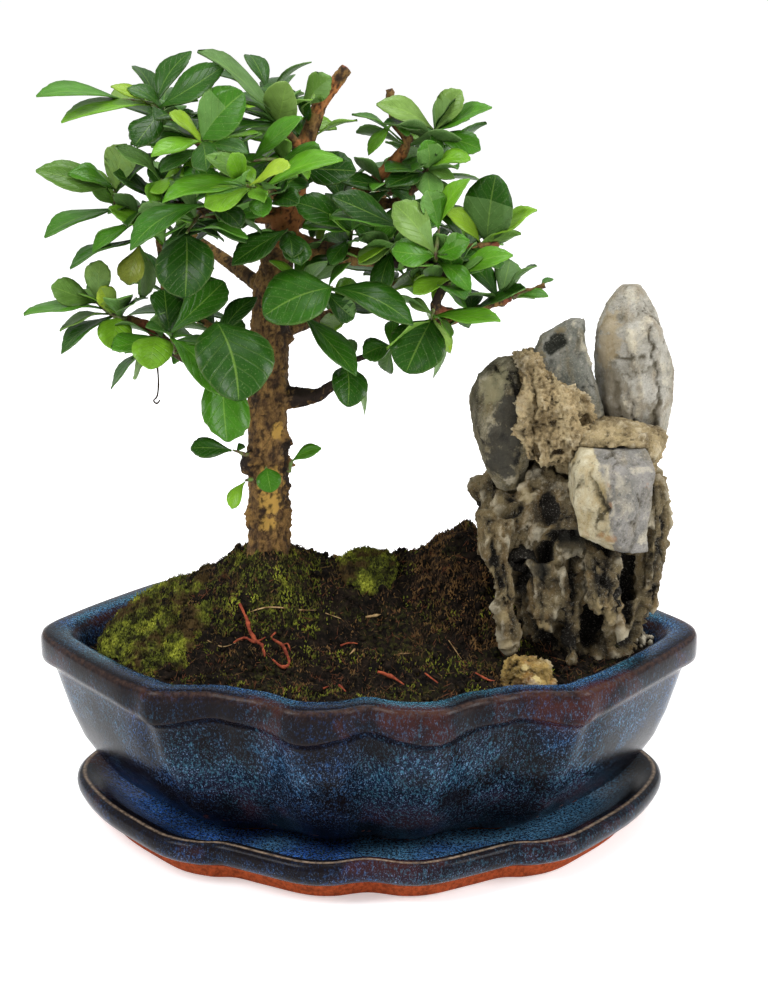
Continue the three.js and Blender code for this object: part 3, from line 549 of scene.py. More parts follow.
show("glazed_pot", cut_pot(pot_ware, cutters), [pot_glaze], ["pot"])

# %% [markdown]
# The saucer is the same kind of sweep. Its lip is rounded and its foot is left bare, so the brick
# red clay shows as a ragged band where the dipped glaze stopped. Glaze has run together on its
# floor, and the floor is painted the brightest blue, bright enough to stand as painted light in
# the shade under the pot. The two drain screens keep the packed mesh, because its shape is right,
# and only get a dark plastic finish.

# %% The saucer
# The floor rows are thick glaze throughout, partly a painted light in the shade under the pot.
saucer_profile = [
    (60, 0, 0, 0, 0, 1), (10.6, 0, 0, 0, 0, 1), (9.8, 0.4, 0, 0, 0, 1), (9, 2.6, 0, 0, 0, 1),
    (8.2, 4.6, 0, 0.2, 0, 0.9), (6.2, 5.8, 0, 0.5, 0, 0.5), (3.2, 7, 0, 0.5, 0, 0.1),
    (1.4, 8.4, 0, 0.3, 0, 0), (0.3, 10.6, 0, 0.4, 0, 0), (0.05, 12.4, 0, 0.6, 0, 0),
    (0.4, 14, 0, 0.7, 0, 0), (1.5, 15, 0, 0.8, 0, 0), (2.6, 15.2, 0, 1, 0, 0),
    (4, 15.1, 0, 0.8, 0, 0), (6, 14.5, 0, 0.8, 0, 0), (8, 13.4, 0, 0.7, 0.1, 0),
    (10, 12.1, 0, 0.5, 0.4, 0), (12.5, 10.2, 0, 0.2, 0.6, 0), (15, 8.4, 0, 0, 0.8, 0),
    (19, 6.4, 0, 0, 1, 0), (24, 5, 0, 0, 1, 0), (60, 5, 0, 0, 0.9, 0),
]
saucer_ware = sweep(saucer_outline, saucer_length, saucer_depth, saucer_profile)
show("drip_saucer", saucer_ware, [saucer_glaze], ["saucer"])

# %% Drain screens
screen_plastic = two_tone("screen_plastic", "1c1d1b", "2b2a26", 500, Roughness=0.55)
for side in ("left", "right"):
    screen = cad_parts["drain_screen_" + side]
    screen.data.materials.clear()
    screen.data.materials.append(screen_plastic)
print("screens:", screen_plastic.name)

# %% [markdown]
# ## Soil
#
# The root ball is a mound of dark, damp peat, highest round the trunk and beside the rock. Its
# surface is the sum of a few smooth mounds, roughened by noise at three sizes. A smooth sheet with
# a crumbly texture would still look like a sheet, so loose crumbs, fibres, root ends and straws
# are laid on it as small closed shapes, each set onto the surface by a ray from above.

# %% The shape of the soil
# The height at the pot's wall, and each mound's middle, height and spread, in millimetres.
soil_edge = 58.8
mounds = [
    (-33, 4, 28, 22, 30), (-66, 4, 17, 26, 30), (5, 8, 24, 26, 32), (36, 14, 30, 18, 26),
    (72, 4, 5, 24, 30), (-33, -10, 6.5, 10, 7),
]
# The soil follows the pot's inside up to its edge: insets and heights.
soil_walls = [(60, 14.1), (37.2, 14.1), (26.6, 26.4), (14.2, 50), (13.9, soil_edge)]
soil_turns, soil_steps = 300, 100


def mound_height(x, y):
    heaped = 0
    for middle_x, middle_y, height, spread_x, spread_y in mounds:
        away = ((x - middle_x) / spread_x) ** 2 + ((y - middle_y) / spread_y) ** 2
        heaped += height * math.exp(-away)
    return soil_edge + heaped


def sunk_end(x):
    """How far the soil has settled at the pot's left end."""
    return 4.5 * soft_step(-76, -94, x)


def roughness_at(x, y, coarse, fine):
    spot = Vector((x, y, 0))
    lumps = coarse * noise.noise(spot * 0.14) + fine * noise.noise(spot * 0.42 + Vector((9, 4, 0)))
    return lumps + 0.45 * fine * noise.noise(spot * 1.1)


last_wall = len(soil_walls) - 1


def place_soil(u, v):
    row = round(v * (last_wall + soil_steps))
    if row <= last_wall:
        inset, height = soil_walls[row]
        x, y, _ = on_outline(pot_outline, u, pot_length, pot_depth, inset)
        return Vector((x, y, height - sunk_end(x) * (row == last_wall))) * MM
    share = 1 - (row - last_wall) / soil_steps
    x, y, _ = on_outline(pot_outline, u, pot_length, pot_depth, soil_walls[last_wall][0])
    x, y = x * share, y * share
    fade = 1 - share ** 8
    height = between(soil_edge, mound_height(x, y), fade) - sunk_end(x)
    return Vector((x, y, height + between(0.35, 1, fade) * roughness_at(x, y, 3.2, 2.2))) * MM


soil_sheet = bent_grid(soil_turns, last_wall + soil_steps, place_soil)
close_seams(soil_sheet)
ground = BVHTree.FromBMesh(soil_sheet)
down = Vector((0, 0, -1))
ray_height = 0.2


def on_ground(x, y):
    """The soil's surface under a point given in millimetres, in millimetres, or None."""
    hit = ground.ray_cast(Vector((x * MM, y * MM, ray_height)), down)[0]
    return hit.z / MM if hit and hit.z > (soil_edge - 8) * MM else None


print("soil by the trunk:", round(on_ground(-33, 0), 1), "mm high")

# %% [markdown]
# Damp peat is almost black, with paler brown where it has dried and a green bloom of young moss
# on the slopes. All three come from noise on the object's own coordinates, so the crumbs share
# the colours of the ground they lie on.

# %% Soil finish
soil_finish, tree, shader = new_material("damp_peat", Roughness=0.95, Specular_IOR_Level=0.1)
place = own_place(tree)
peat = mix(tree, mask(tree, speckle(tree, place, 420), 0.42, 0.66), srgb("0a0806"), srgb("221a14"))
dried = mix(tree, mask(tree, speckle(tree, place, 1300), 0.62, 0.74), peat, srgb("4c3d2d"))
slopes_in_bloom = mask(tree, speckle(tree, place, 48), 0.5, 0.62)
bloom_dots = mask(tree, speckle(tree, place, 700), 0.48, 0.6)
bloom_share = maths(tree, "MULTIPLY", slopes_in_bloom, bloom_dots)
bloom = mix(tree, maths(tree, "MULTIPLY", bloom_share, 0.6), dried, srgb("3a3b18"))
paint(tree, shader, bloom)
raise_surface(tree, shader, speckle(tree, place, 900, 5, 0.75), 0.0008, 0.8)
show("peat_soil", soil_sheet, [soil_finish], ["soil"])

# %% [markdown]
# Small things are scattered by rule. A shape of a few faces is made once as a mesh, and copies of
# it, turned and scaled by seeded draws, are joined into one piece. Copies that are real geometry
# are exported as they are, which instances and particles would not be.

# %% Scattering
def drop(shape, target, where, turn, size):
    """Adds a copy of a small mesh to the target, turned by three angles, scaled and moved."""
    copy = shape.copy()
    spin = Euler(turn).to_matrix().to_4x4()
    copy.transform(Matrix.Translation(Vector(where) * MM) @ spin @ Matrix.Diagonal((*size, 1)))
    target.from_mesh(copy)
    bpy.data.meshes.remove(copy)


def small_shape(name, build):
    """A small mesh, made by a function that fills a bmesh."""
    sheet = bmesh.new()
    build(sheet)
    mesh = bpy.data.meshes.new(name)
    sheet.to_mesh(mesh)
    sheet.free()
    return mesh


def small_cone(name, foot, tip):
    """A three-sided cone, two millimetres long, with its radii at the foot and the tip."""
    return small_shape(name, lambda sheet: bmesh.ops.create_cone(
        sheet, cap_ends=True, segments=3, radius1=foot * MM, radius2=tip * MM, depth=2 * MM))


crumb_shape = small_shape(
    "crumb", lambda sheet: bmesh.ops.create_icosphere(sheet, subdivisions=1, radius=MM))
fibre_shape = small_cone("fibre", 0.3, 0.08)
tuft_shape = small_cone("tuft", 0.34, 0.05)
print("small shapes:", crumb_shape.name, fibre_shape.name, tuft_shape.name)

# %% Crumbs of peat
full_turn = 6.3


def spots(count, seed, reach_x, reach_y, middle=(0, 0)):
    """Seeded points on the soil, inside an ellipse, with five more draws for each."""
    draw = draws(seed)
    found = 0
    while found < count:
        x = between(-1, 1, next(draw))
        y = between(-1, 1, next(draw))
        rest = [next(draw) for _ in range(5)]
        if x * x + y * y > 1:
            continue
        x, y = middle[0] + x * reach_x, middle[1] + y * reach_y
        height = on_ground(x, y)
        found += 1
        if height is not None:
            yield x, y, height, rest


def add_crumbs(target, places, sizes, power, lift, widths):
    """Drops crumbs at the places; a high power makes large ones rare."""
    for x, y, height, rest in places:
        size = between(*sizes, rest[0] ** power)
        width = size * between(*widths, rest[4])
        drop(crumb_shape, target, (x, y, height + size * lift),
             [6 * value for value in rest[1:4]], (size, width, size * 0.7))


crumbs = bmesh.new()
add_crumbs(
    crumbs, spots(4200, 17, 95, 62), sizes=(0.3, 1.7), power=4, lift=0.3, widths=(0.5, 1))
show("soil_crumbs", crumbs, [soil_finish])

# %% Peat fibres
fibre_finish, tree, shader = new_material("peat_fibre", Roughness=0.9, Specular_IOR_Level=0.15)
place = own_place(tree)
rusty = mix(tree, mask(tree, speckle(tree, place, 160), 0.48, 0.56), srgb("2b1f17"), srgb("623a26"))
paint(tree, shader, mix(
    tree, mask(tree, speckle(tree, place, 330), 0.5, 0.6), rusty, srgb("5c4a2c")))
fibres = bmesh.new()
for x, y, height, rest in spots(5200, 23, 94, 61):
    length = between(0.6, 2.4, rest[0] ** 2)
    tilt = between(0.4, 1.5, rest[1])
    drop(fibre_shape, fibres, (x, y, height + 0.5), (tilt, 0, full_turn * rest[2]),
         (0.55, 0.55, length))
show("soil_fibres", fibres, [fibre_finish])

# %% [markdown]
# ## Moss
#
# Moss spreads as a low carpet on the left and as a round cushion behind the middle. Up close it is
# thousands of tiny upright shoots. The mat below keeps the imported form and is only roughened, and
# three-sided cones are dropped all over it, leaning a little at random.

# %% Moss finish
moss_finish, tree, shader = new_material("living_moss", Roughness=0.9, Specular_IOR_Level=0.15)
place = own_place(tree)
damp_moss = mix(tree, mask(tree, speckle(tree, place, 900), 0.4, 0.62), srgb("272912"), srgb("6b7226"))
bright_moss = mix(tree, mask(tree, speckle(tree, place, 1500), 0.4, 0.6), srgb("5d661d"), srgb("a9ad3c"))
# Painted highlight: bright yellow-green patches where the light catches the moss.
painted_highlight_patches = mix(tree, mask(tree, speckle(tree, place, 130), 0.5, 0.65), damp_moss, bright_moss)
# Brown dry patches, then near-black patches, both by noise.
moss_tones = mix(tree, mask(tree, speckle(tree, place, 90), 0.5, 0.6), painted_highlight_patches, srgb("48391f"))
moss_tones = mix(tree, mask(tree, speckle(tree, place, 260), 0.48, 0.38, 0, 0.85), moss_tones, srgb("191409"))
paint(tree, shader, moss_tones)
raise_surface(tree, shader, speckle(tree, place, 1400, 4), 0.0006, 0.8)
print("finish:", moss_finish.name)

# %% [markdown]
# A few bits are large enough to see one by one: a forked red root end and a curled one in front
# of the trunk, and some straws and sticks. Each is a tube that lies on the soil along a line of
# points, given across and deep, in millimetres. The tube helper serves for every twig too.

# %% A tube along a path
def tube(points, radii, sides=8, steps=6, lumps=0.0, seed=0):
    """A closed round tube through the points, in millimetres, with a radius at each."""
    rings = steps * (len(points) - 1)
    sections = [[*point, radius] for point, radius in zip(points, radii)]
    start = Vector(smooth_path(sections, 0)[:3])
    aim = Vector(points[-1]) - start
    across = aim.orthogonal().normalized()
    frames = []
    for ring in range(rings + 1):
        *middle, radius = smooth_path(sections, ring / rings)
        ahead = Vector(smooth_path(sections, min((ring + 0.5) / rings, 1))[:3])
        behind = Vector(smooth_path(sections, max((ring - 0.5) / rings, 0))[:3])
        along = (ahead - behind).normalized()
        across = (across - along * across.dot(along)).normalized()
        frames.append((Vector(middle), across.copy(), along.cross(across), radius))

    def place(u, v):
        middle, side, other, radius = frames[round(v * rings)]
        turn = 2 * math.pi * u
        outward = side * math.cos(turn) + other * math.sin(turn)
        wobble = 1 + lumps * noise.noise((middle + outward * radius) * 0.5 + Vector((seed, 0, 0)))
        return (middle + outward * radius * wobble) * MM

    skin = bent_grid(sides, rings, place)
    close_seams(skin)
    return skin


def merge(target, part):
    """Moves all of a part into the target and frees it."""
    mesh = bpy.data.meshes.new("part")
    part.to_mesh(mesh)
    part.free()
    target.from_mesh(mesh)
    bpy.data.meshes.remove(mesh)


# %% Root ends and straws
root_finish = two_tone(
    "red_bark_chip", "63281a", "9a4a2e", 500, (0.4, 0.62), 900, Roughness=0.8, Specular_IOR_Level=0.2)
straw_finish = two_tone(
    "dry_straw", "6e5232", "b09468", 400, (0.4, 0.6), 900, Roughness=0.8, Specular_IOR_Level=0.2)
# Each has its thickness and its path on the soil.
red_roots = [
    (0.6, [(-42, -18), (-39.7, -21.5), (-38, -24.5), (-36.2, -27.5), (-34, -31), (-33, -35)]),
    (0.5, [(-43.5, -27.5), (-40, -26.5), (-36.5, -28), (-33, -29)]),
    (0.5, [(-30, -26), (-31, -29), (-27.5, -30), (-25.3, -33), (-27.5, -36.5), (-30.5, -35.5)]),
    (0.4, [(-28, -30), (-26, -28.5), (-25, -31)]),
    (0.45, [(-9, -25.5), (-6.5, -24.5), (-3.5, -25)]),
    (0.6, [(3, -39), (7, -40), (11.3, -42.5)]), (0.4, [(18, -40), (22, -43)]),
    (0.5, [(-14, -48), (-10, -46), (-7, -48)]), (0.4, [(34, -38), (38, -41), (40, -40)]),
]
straws = [
    (0.3, [(-52, -25), (-47.2, -26.5), (-42.6, -28)]),
    (0.22, [(-38.5, -20.5), (-32, -20), (-22.3, -19), (-15, -17)]),
    (0.5, [(-0.9, -17.5), (1.5, -16), (4, -14.5)]), (0.3, [(-14, -18.5), (-9, -17.5)]),
    (0.8, [(-12, 10), (-8.5, 11), (-4.4, 11)]), (0.3, [(10, -30), (14, -28)]),
    (0.25, [(26, -22), (30, -27)]), (0.3, [(-5, -27), (-4.5, -30), (-6, -31.5)]),
    (0.3, [(-20, 30), (-12, 34)]), (0.3, [(14, 40), (22, 37)]),
]


def add_litter(target, thick, line):
    """A tube on the soil, thinner at both ends; its lumps depend on where it starts."""
    points = [(x, y, on_ground(x, y) + thick + 0.5) for x, y in line]
    radii = [thick * 0.7] + [thick] * (len(line) - 2) + [thick * 0.4]
    merge(target, tube(points, radii, sides=6, steps=5, lumps=0.9, seed=line[0][0]))


for name, finish, lines in (
        ("red_roots", root_finish, red_roots), ("straws", straw_finish, straws)):
    litter = bmesh.new()
    for thick, line in lines:
        add_litter(litter, thick, line)
    show(name, litter, [finish])

# %% [markdown]
# The moss mats need a remeshing helper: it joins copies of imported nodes, cuts flakes off where it
# is given planes, makes an even skin of what is left with a voxel remesh, and smooths it. The
# helper serves the bark and the rock too.

# %% Remeshed copies
def even_skin(nodes, voxel, rounds, planes=()):
    """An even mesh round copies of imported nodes, cut by planes, with the voxel in millimetres."""
    joined = bmesh.new()
    for name in nodes:
        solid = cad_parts[name]
        copy = solid.data.copy()
        copy.transform(solid.matrix_world)
        joined.from_mesh(copy)
        bpy.data.meshes.remove(copy)
    bmesh.ops.remove_doubles(joined, verts=joined.verts, dist=TOUCHING)
    for point, direction in planes:
        cut = bmesh.ops.bisect_plane(
            joined, geom=[*joined.verts, *joined.edges, *joined.faces], plane_co=point,
            plane_no=direction, clear_outer=True)
        rim = [part for part in cut["geom_cut"] if isinstance(part, bmesh.types.BMEdge)]
        bmesh.ops.holes_fill(joined, edges=rim, sides=0)
    rough = bpy.data.objects.new("rough", bpy.data.meshes.new("rough"))
    joined.to_mesh(rough.data)
    joined.free()
    bpy.context.scene.collection.objects.link(rough)
    remesh = rough.modifiers.new("voxels", "REMESH")
    remesh.mode = "VOXEL"
    remesh.voxel_size = voxel * MM
    graph = bpy.context.evaluated_depsgraph_get()
    mesh = bpy.data.meshes.new_from_object(rough.evaluated_get(graph))
    bpy.data.objects.remove(rough)
    skin = bmesh.new()
    skin.from_mesh(mesh)
    bpy.data.meshes.remove(mesh)
    for _ in range(rounds):
        bmesh.ops.smooth_vert(
            skin, verts=skin.verts, factor=0.5, use_axis_x=True, use_axis_y=True, use_axis_z=True)
    return skin


# %% Moss mats
def tuft_places(count, seed, box):
    """Seeded places inside a box of two corners, with draws for lean, turn and size."""
    draw = draws(seed)
    for _ in range(count):
        x = between(box[0], box[2], next(draw))
        y = between(box[1], box[3], next(draw))
        lean, turn, size = (next(draw) for _ in range(3))
        yield x, y, lean, turn, size


def moss_mat(node, settle, edge_oval):
    """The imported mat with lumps, sunk a little and settled into the soil round its edge."""
    middle_x, middle_y, reach_x, reach_y = edge_oval
    mat = even_skin([node], 0.9, 3)
    mat.normal_update()
    for vert in mat.verts:
        spot = vert.co / MM
        clump = noise.voronoi(spot / 4)[0][0]
        slow = noise.noise(spot * 0.2)
        lump = 2.2 * (0.4 - clump) + 1.6 * slow + 0.6 * noise.noise(spot * 0.9)
        edge = math.hypot((spot.x - middle_x) / reach_x, (spot.y - middle_y) / reach_y)
        sink = settle + 3 * soft_step(0.6, 1.02, edge + 0.25 * slow)
        vert.co += vert.normal * MM * lump - Vector((0, 0, sink)) * MM
    return mat


moss_mats = (
    ("moss_carpet", 8500, 61, 0.95, moss_mat("moss_carpet", 2.2, (-65, -4, 25, 34))),
    ("moss_cushion", 2300, 62, 0.85, moss_mat("moss_cushion", 0, (0, 4, 13, 15))))
print("mats:", [len(mat.verts) for *_, mat in moss_mats], "points")

# %% Moss shoots on the mats
for node, count, seed, tall, mat in moss_mats:
    lowest, highest = (Vector(corner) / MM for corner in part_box(node))
    under = BVHTree.FromBMesh(mat)
    box = (lowest.x, lowest.y, highest.x, highest.y)
    for x, y, lean, turn, size in tuft_places(count, seed, box):
        hit = under.ray_cast(Vector((x * MM, y * MM, ray_height)), down)[0]
        if hit:
            height = tall * between(0.5, 1.2, size)
            drop(tuft_shape, mat, (x, y, hit.z / MM + 0.5 * height),
                 (0.7 * lean, 0, full_turn * turn), (1, 1, height))
    show(node + "_shoots", mat, [moss_finish], [node])

# %% [markdown]
# Moss also creeps over the slopes, thick in some places and thin in others. A slow noise decides
# where it has settled, and a second, rusty brown kind covers the mound beside the rock.

# %% Moss on the slopes
rusty_moss = two_tone(
    "rusty_moss", "33261b", "785a36", 300, (0.44, 0.6), Roughness=0.9, Specular_IOR_Level=0.15)


def creeping_moss(name, finish, count, seed, box, threshold):
    """Moss where a slow noise passes the threshold, shorter round the edge of each patch."""
    patch = bmesh.new()
    for x, y, lean, turn, size in tuft_places(count, seed, box):
        height = on_ground(x, y)
        settled = noise.noise(Vector((x * 0.11, y * 0.11, seed)))
        if height is None or settled < threshold:
            continue
        tall = between(0.35, 1.0, size) * soft_step(threshold - 0.1, threshold + 0.25, settled)
        drop(tuft_shape, patch, (x, y, height + 0.5 * tall), (0.8 * lean, 0, full_turn * turn),
             (1, 1, tall))
    show(name, patch, [finish])


creeping_moss("moss_on_slopes", moss_finish, 15000, 71, (-96, -60, 60, 52), 0.07)
creeping_moss("rusty_moss_left", rusty_moss, 7000, 83, (-60, -56, 60, 26), 0.06)
creeping_moss("moss_round_trunk", moss_finish, 3000, 89, (-50, -24, -16, 10), -0.3)
creeping_moss("rusty_moss_right", rusty_moss, 3500, 97, (14, -24, 44, 22), -0.15)

# %% [markdown]
# ## Bark
#
# The wood is one grown piece, so it starts as one copy of the imported trunk and its branches. A
# voxel remesh turns the joined solids into an even skin, and a little smoothing melts the limbs
# into each other. The bark is then raised by noise: long narrow ridges up the stem, with broad
# warts where old branches have healed. A value of tone and painted shade, from the same noise and
# lower in the cracks, is kept as an attribute, so the finish can paint shade into the cracks.

# %% Raised skin
def raise_skin(skin, height_at):
    """Moves each point along its normal by height_at(point), in millimetres, and keeps the value."""
    # height_at also gives a value of tone and painted shade, lower in cracks and hollows, kept as a
    # colour attribute.
    tone_and_shade = skin.verts.layers.float_color.new("tone_and_shade")
    skin.normal_update()
    moves = [(vert, vert.normal.copy(), height_at(vert.co / MM)) for vert in skin.verts]
    for vert, normal, (height, shade) in moves:
        vert.co += normal * height * MM
        vert[tone_and_shade] = (shade, shade, shade, 1)


# %% The shape of the bark
# Each wart has its middle, reach and rise.
warts = [
    ((-26.2, -1, 177), 2.2, 2.0), ((-25.6, -2, 171.5), 2.0, 1.7), ((-26, -1, 164), 2, 1.5),
    ((-26.5, -2, 129), 2.2, 1.8), ((-26.2, -1, 122), 2.0, 1.9), ((-26, -2, 114.5), 2.2, 1.7),
    ((-26, -3, 107), 2.0, 1.4), ((-40, -2, 138), 2.2, 1.3), ((-38, -4, 124), 3, 1.2),
    ((-39, -2, 196), 3, 1.0), ((-38.5, -3, 190), 2.6, 0.8), ((-24.5, -3, 104), 4, 1.1),
    ((-40.5, -3, 104), 4.2, 0.9), ((-36, -6, 92), 4.5, 0.8), ((-27, -6, 84), 4.5, 0.9),
    ((-41, -2, 80), 5, 1.2), ((-25, -3, 74), 5, 1.4), ((-33, -8, 72), 4, 0.8),
]
stem_x = -32


def bark_height(spot):
    """How far the bark is raised at a point, and how pale it is there."""
    long = noise.noise(Vector((spot.x * 0.5, spot.y * 0.5, spot.z * 0.24)))
    flakes = noise.noise(Vector((spot.x * 0.8, spot.y * 0.8, spot.z * 0.6)) + Vector((7, 3, 1)))
    grain = noise.noise(spot * 1.5)
    crack = -min(abs(long) * 6, 1) + 1
    wart = sum(
        rise * math.exp(-(((spot - Vector(middle)).length / reach) ** 2))
        for middle, reach, rise in warts)
    off_stem = math.hypot(spot.x - stem_x, spot.y)
    near_stem = soft_step(12, 5, off_stem) * soft_step(205, 190, spot.z)
    depth = 0.35 + 0.65 * near_stem
    height = depth * (0.3 * long + 0.45 * flakes + 0.35 * grain - 0.3 * crack)
    height += wart * (0.9 + 1.2 * flakes + 0.8 * grain)
    shade = 0.5 + 0.6 * long + 0.6 * flakes + 0.5 * grain - 0.25 * crack
    return height, min(max(shade, 0), 1)


wood = even_skin(["trunk"], 0.62, 7)
raise_skin(wood, bark_height)
print("raised wood:", len(wood.verts), "points")

# %% [markdown]
# The bark is tan where thin plates have just come away and brown where they are old. The cracks
# are painted almost black as shade, and the raised bark paler as highlight. A few places differ: a
# yellow bare patch low on the front, orange bark in the crown, reddish saw cuts at the stub ends,
# black warts and painted shadow where the leaves shade the branches in the crown. Each is a soft
# ball of colour round a point, with a ragged edge, made by the group that also places the drips on
# the pot.

# %% The places on the bark that differ
# Each spot is a point and a reach, and all the spots of a list share a colour.
# Black warts, and painted shadow where the leaves shade the branches inside the crown.
warts_and_leaf_shadow = [
    (-25, -3, 176, 4), (-25, -4, 168, 3.6), (-25.5, -4, 127, 4.2), (-25.2, -4, 118, 4.4),
    (-25, -4, 111, 3.6), (-40, -4, 196, 3.4), (-41, -5, 124, 4), (-22, -2, 146, 6),
    (-14, -4, 147, 6), (-6, -5, 155, 6), (2, -6, 160, 5), (10, -10, 190, 9), (20, -12, 188, 8),
    (22, -10, 180, 6), (-66, 0, 206, 6), (-76, 0, 205, 5), (-64, -9, 188, 6), (-64, -12, 176, 6),
    (-60, -13, 162, 5), (-38, -6, 84, 5), (-27, -7, 76, 6), (-41, -3, 72, 7), (3, 4, 212, 3.4),
]
orange_spots = [
    (-26, -4, 200, 8), (-22, -3, 212, 6), (-6, 1, 208, 7), (7, 5, 219, 6), (-20, -1, 224, 4),
    (-13, 1, 241, 6), (-44, -9, 222, 6),
]
bare_spots = [(-32, -7, 117, 4.6), (-31.5, -7, 110, 3.8), (-33, -7, 103, 3), (-29, -6, 134, 2.6)]
red_spots = [
    (-6.5, 3, 250, 2), (46, -2, 177, 3.5), (42, 4, 193, 3.5), (-70, -12, 170, 4), (4, -6, 160, 2.6),
    (46, -3, 172, 3), (25, -9, 173, 3),
]
bark_touches = [
    ("241a13", warts_and_leaf_shadow), ("945f34", orange_spots), ("a5823e", bare_spots), ("74412c", red_spots)]
print("bark touches:", sum(len(touched) for _, touched in bark_touches))

# %% Bark finish
bark, tree, shader = new_material("fukien_bark", Roughness=0.8, Specular_IOR_Level=0.2)
place = own_place(tree)
tone_and_shade = attribute(tree, "tone_and_shade").outputs["Fac"]
fine = speckle(tree, stretch(tree, place, (1, 1, 0.6)), 1000, 5, 0.75)
plates = speckle(tree, stretch(tree, place, (1, 1, 0.7)), 210, 5, 0.68)
old_bark = mix(tree, mask(tree, fine, 0.38, 0.62), srgb("342517"), srgb("573f24"))
tan_bark = mix(tree, mask(tree, fine, 0.4, 0.66), srgb("6a4e2b"), srgb("8b6c39"))
coloured = mix(tree, mask(tree, plates, 0.42, 0.6), old_bark, tan_bark)
for code, touched in bark_touches:
    coloured = mix(tree, spot_share(tree, place, touched), coloured, srgb(code))
# Painted shade: almost black where the tone and shade value is low, in the cracks. Painted highlight:
# paler where it is high, on the raised bark.
in_cracks = mix(tree, mask(tree, tone_and_shade, 0.4, 0.04, 0, 0.85), coloured, srgb("1d140d"))
crests = mix(tree, mask(tree, tone_and_shade, 0.72, 1, 0, 0.3), in_cracks, srgb("94764a"))
paint(tree, shader, crests)
raise_surface(tree, shader, maths(tree, "ADD", fine, plates), 0.0006, 0.75)
show("trunk_bark", wood, [bark], ["trunk"])

# %% [markdown]
# Three bits of bare wood stand clear of the leaves: a knobbly twig at the far right, a cut stub at
# the top and a dead tendril that hangs from the lowest left branch and ends in a hook. They are
# thinner than the solids allow for, so they are only tubes here, along points read from the
# photograph. The two thick ones are raised with the same bark.

# %% Far twig and top stub
far_twig = [
    (22, -3, 169.1), (27.8, -2, 170.4), (32.5, -2, 172.3), (35.7, -2, 173.3), (39.5, -2, 175.2),
    (42.7, -2, 175.9), (45.3, -2, 178.2), (48.4, -2, 179.1), (51.9, -2, 179.4), (56.4, -2, 181.1),
]
far_twig_radii = [1.2, 1.5, 1.1, 1.6, 1.3, 1.7, 1.2, 1.0, 0.7, 1.0]
top_stub = [(8.8, 9, 231), (7.8, 9, 236.8), (6.6, 9, 241.8)]
top_stub_radii = [1.3, 1.2, 1.1]
bare_twigs = bmesh.new()
for path, radii in ((far_twig, far_twig_radii), (top_stub, top_stub_radii)):
    twig = tube(path, radii, sides=9, steps=6, lumps=0.5, seed=5)
    raise_skin(twig, bark_height)
    merge(bare_twigs, twig)
show("bare_twigs", bare_twigs, [bark])

# %% Dead tendril
tendril_path = [
    (-67.5, -13, 166), (-67, -13, 158.3), (-66.7, -13, 152), (-67.2, -13, 147.5), (-68.4, -13, 145.8),
    (-67.4, -13, 144.9), (-66.4, -13, 146),
]
tendril_radii = [0.5, 0.35, 0.3, 0.3, 0.3, 0.3, 0.2]
tendril = tube(tendril_path, tendril_radii, sides=6, steps=5, lumps=0.3, seed=3)
show("dead_tendril", tendril, [bark])

# %% [markdown]
# ## Leaves
#
# Fukien tea has small leathery leaves shaped like a spoon, glossy and dark green above and dull
# grey-green below, with a few blunt teeth at the end. Young ones are a bright yellow-green. They
# sit in tufts on short shoots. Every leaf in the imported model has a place, a heading, a lift and a
# size in a short list, and this lesson uses the same list, so each fine blade lies exactly where
# its coarse one was.

